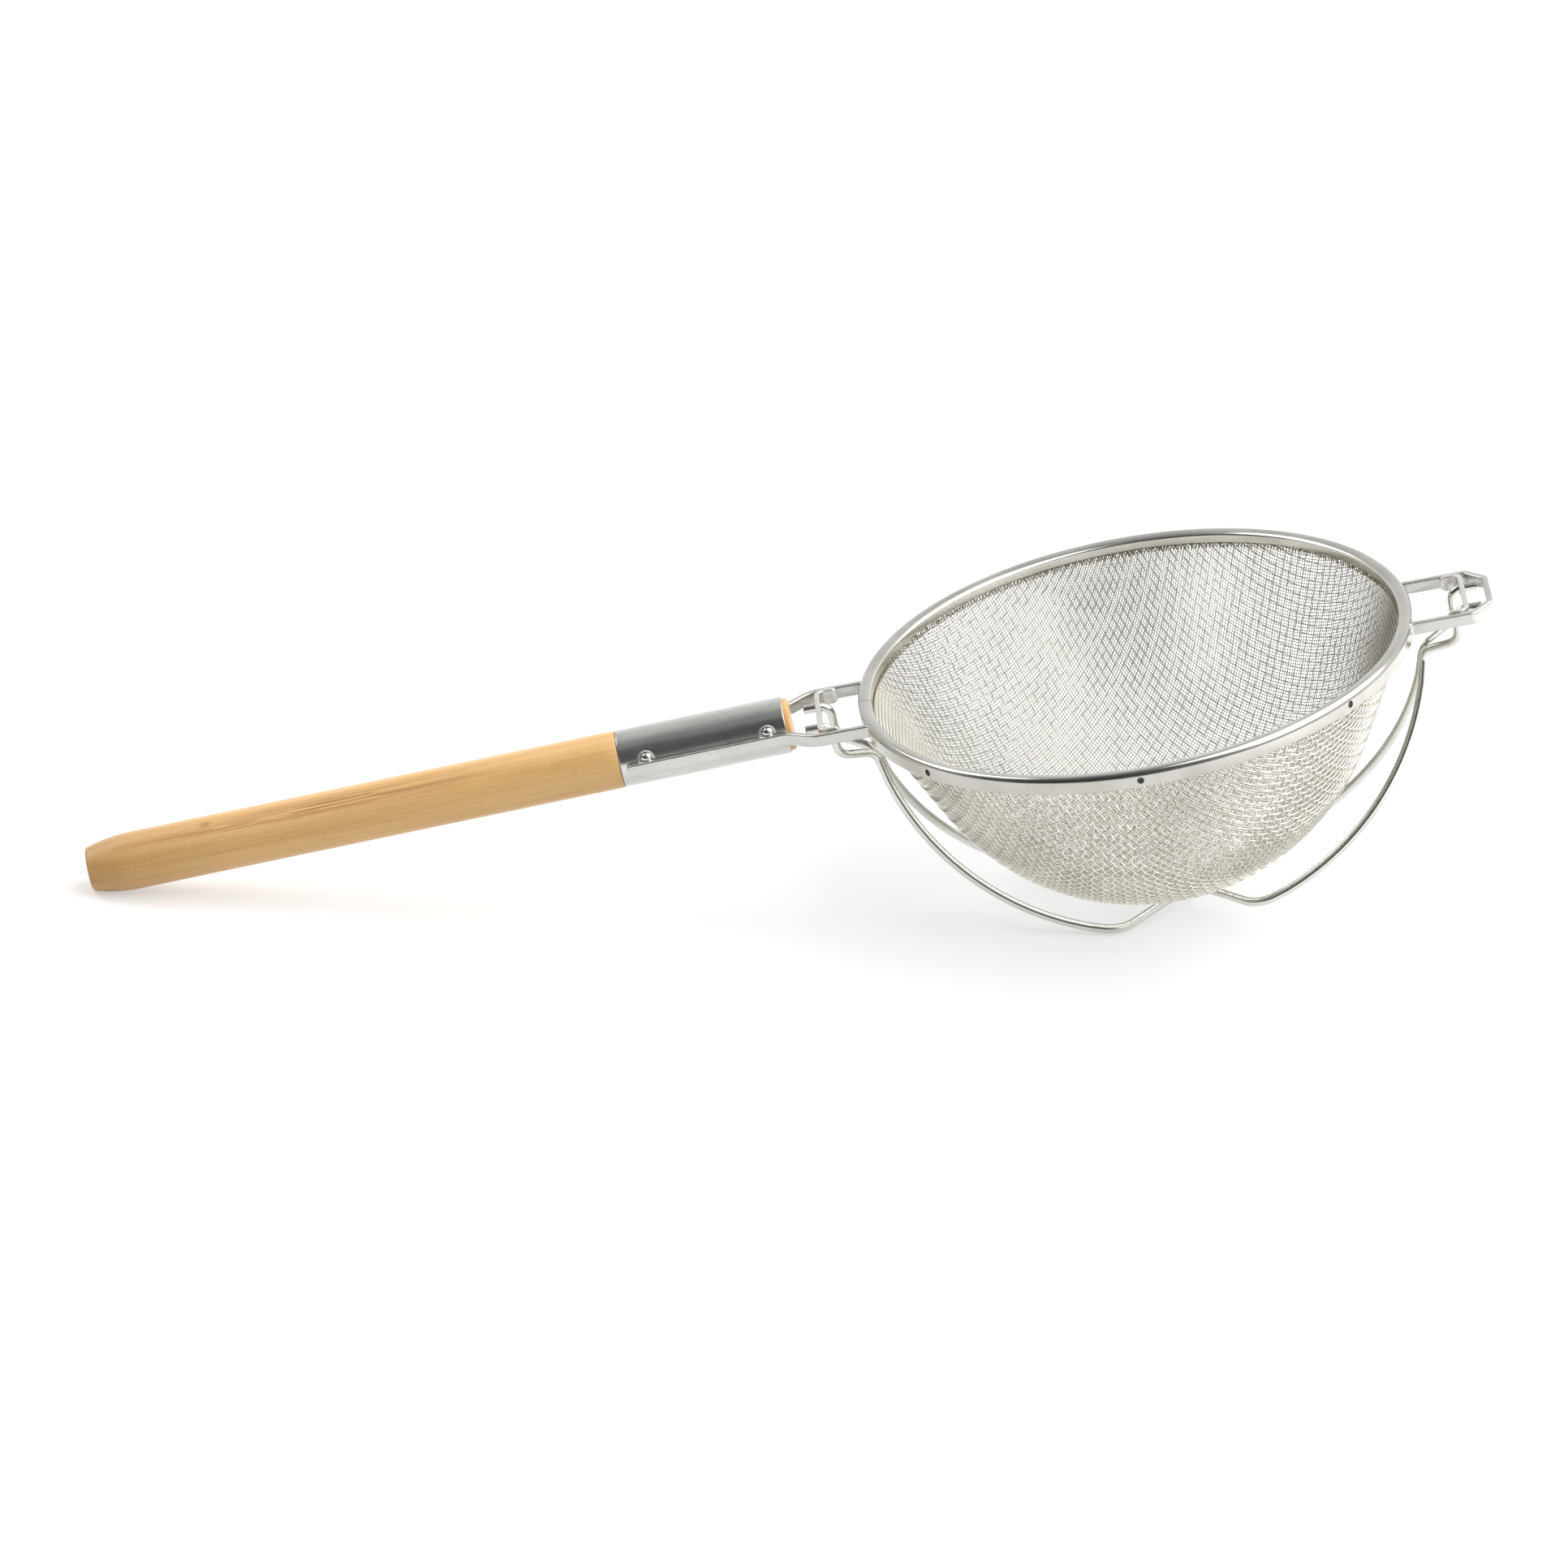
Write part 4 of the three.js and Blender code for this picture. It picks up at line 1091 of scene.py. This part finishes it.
def make_floor():
    """A wide flat floor just below the strainer."""
    mesh = bpy.data.meshes.new("floor")
    ways = ((-1, -1), (1, -1), (1, 1), (-1, 1))
    mesh.from_pydata([(x * FLOOR_HALF, y * FLOOR_HALF, -FLOOR_DROP) for x, y in ways], [], [(0, 1, 2, 3)])
    mesh.materials.append(pale_floor())
    floor = bpy.data.objects.new("floor", mesh)
    bpy.context.scene.collection.objects.link(floor)


def make_world():
    """A grey room that is darker the nearer a direction is to its dark part."""
    world = bpy.data.worlds.new("studio")
    bpy.context.scene.world = world
    world.use_nodes = True
    world.node_tree.nodes.clear()
    nodes = Nodes(world.node_tree)
    where = nodes.add("ShaderNodeTexCoord")
    near = nodes.add("ShaderNodeVectorMath", operation="DOT_PRODUCT")
    near.inputs[1].default_value = RIM_PLACE.to_3x3() @ DARK_TOWARDS
    nodes.join(where.outputs["Generated"], near.inputs[0])
    share = nodes.spread(near.outputs["Value"], (-1.0, 1.0), 0.0, 1.0)
    room = nodes.add("ShaderNodeBackground")
    nodes.join(nodes.ramp(share, ROOM_STOPS), room.inputs["Color"])
    out = nodes.add("ShaderNodeOutputWorld")
    nodes.join(room.outputs["Background"], out.inputs["Surface"])


def make_lamps():
    """Soft boxes that face the rim's middle."""
    target = RIM_PLACE.translation
    for name, (towards, distance, wide, tall, radiance) in LAMPS.items():
        data = bpy.data.lights.new(name, "AREA")
        data.shape = "RECTANGLE"
        data.size, data.size_y = wide, tall
        data.energy = radiance * math.pi * wide * tall
        lamp = bpy.data.objects.new(name, data)
        out = (RIM_PLACE.to_3x3() @ Vector(towards)).normalized()
        lamp.location = target + out * distance
        lamp.rotation_euler = out.to_track_quat("Z", "Y").to_euler()
        bpy.context.scene.collection.objects.link(lamp)


def make_camera():
    """The photograph's view."""
    data = bpy.data.cameras.new("camera")
    data.sensor_width = SENSOR
    data.lens = PIXELS_PER_MM * CAMERA_WAY[2] / PICTURE * SENSOR
    data.clip_end = CAMERA_REACH
    camera = bpy.data.objects.new("camera", data)
    level = Matrix.Rotation(CAMERA_TURN, 4, "Z") @ Matrix.Rotation(math.pi / 2 - CAMERA_TILT, 4, "X")
    look = level @ Matrix.Rotation(CAMERA_ROLL, 4, "Z")
    camera.matrix_world = RIM_PLACE @ look @ Matrix.Translation(Vector(CAMERA_WAY) * MM)
    bpy.context.scene.collection.objects.link(camera)
    bpy.context.scene.camera = camera


make_camera()
make_floor()
make_world()
make_lamps()
make_handle()
make_ferrule()
make_nails()
make_rim()
make_band()
make_clip("handle_bracket", "handle_clip", HANDLE_WEB_X, -1, HANDLE_LEG_Y)
make_clip("hook_bracket", "hook_clip", HOOK_WEB_X, 1, HOOK_LEG_Y)
make_wire("cradle_lower", "cradle_wire_lower", -1, LOWER_CROSS)
make_wire("cradle_upper", "cradle_wire_upper", 1, UPPER_CROSS)
make_weld("weld_handle_side", -1)
make_weld("weld_hook_side", 1)
make_cloth("coarse_cloth", "outer_mesh", "outer_mesh_wire", COARSE)
make_cloth("fine_cloth", "inner_mesh", "inner_mesh_wire", FINE)
make_hem()
bpy.context.scene.view_settings.view_transform = "Standard"
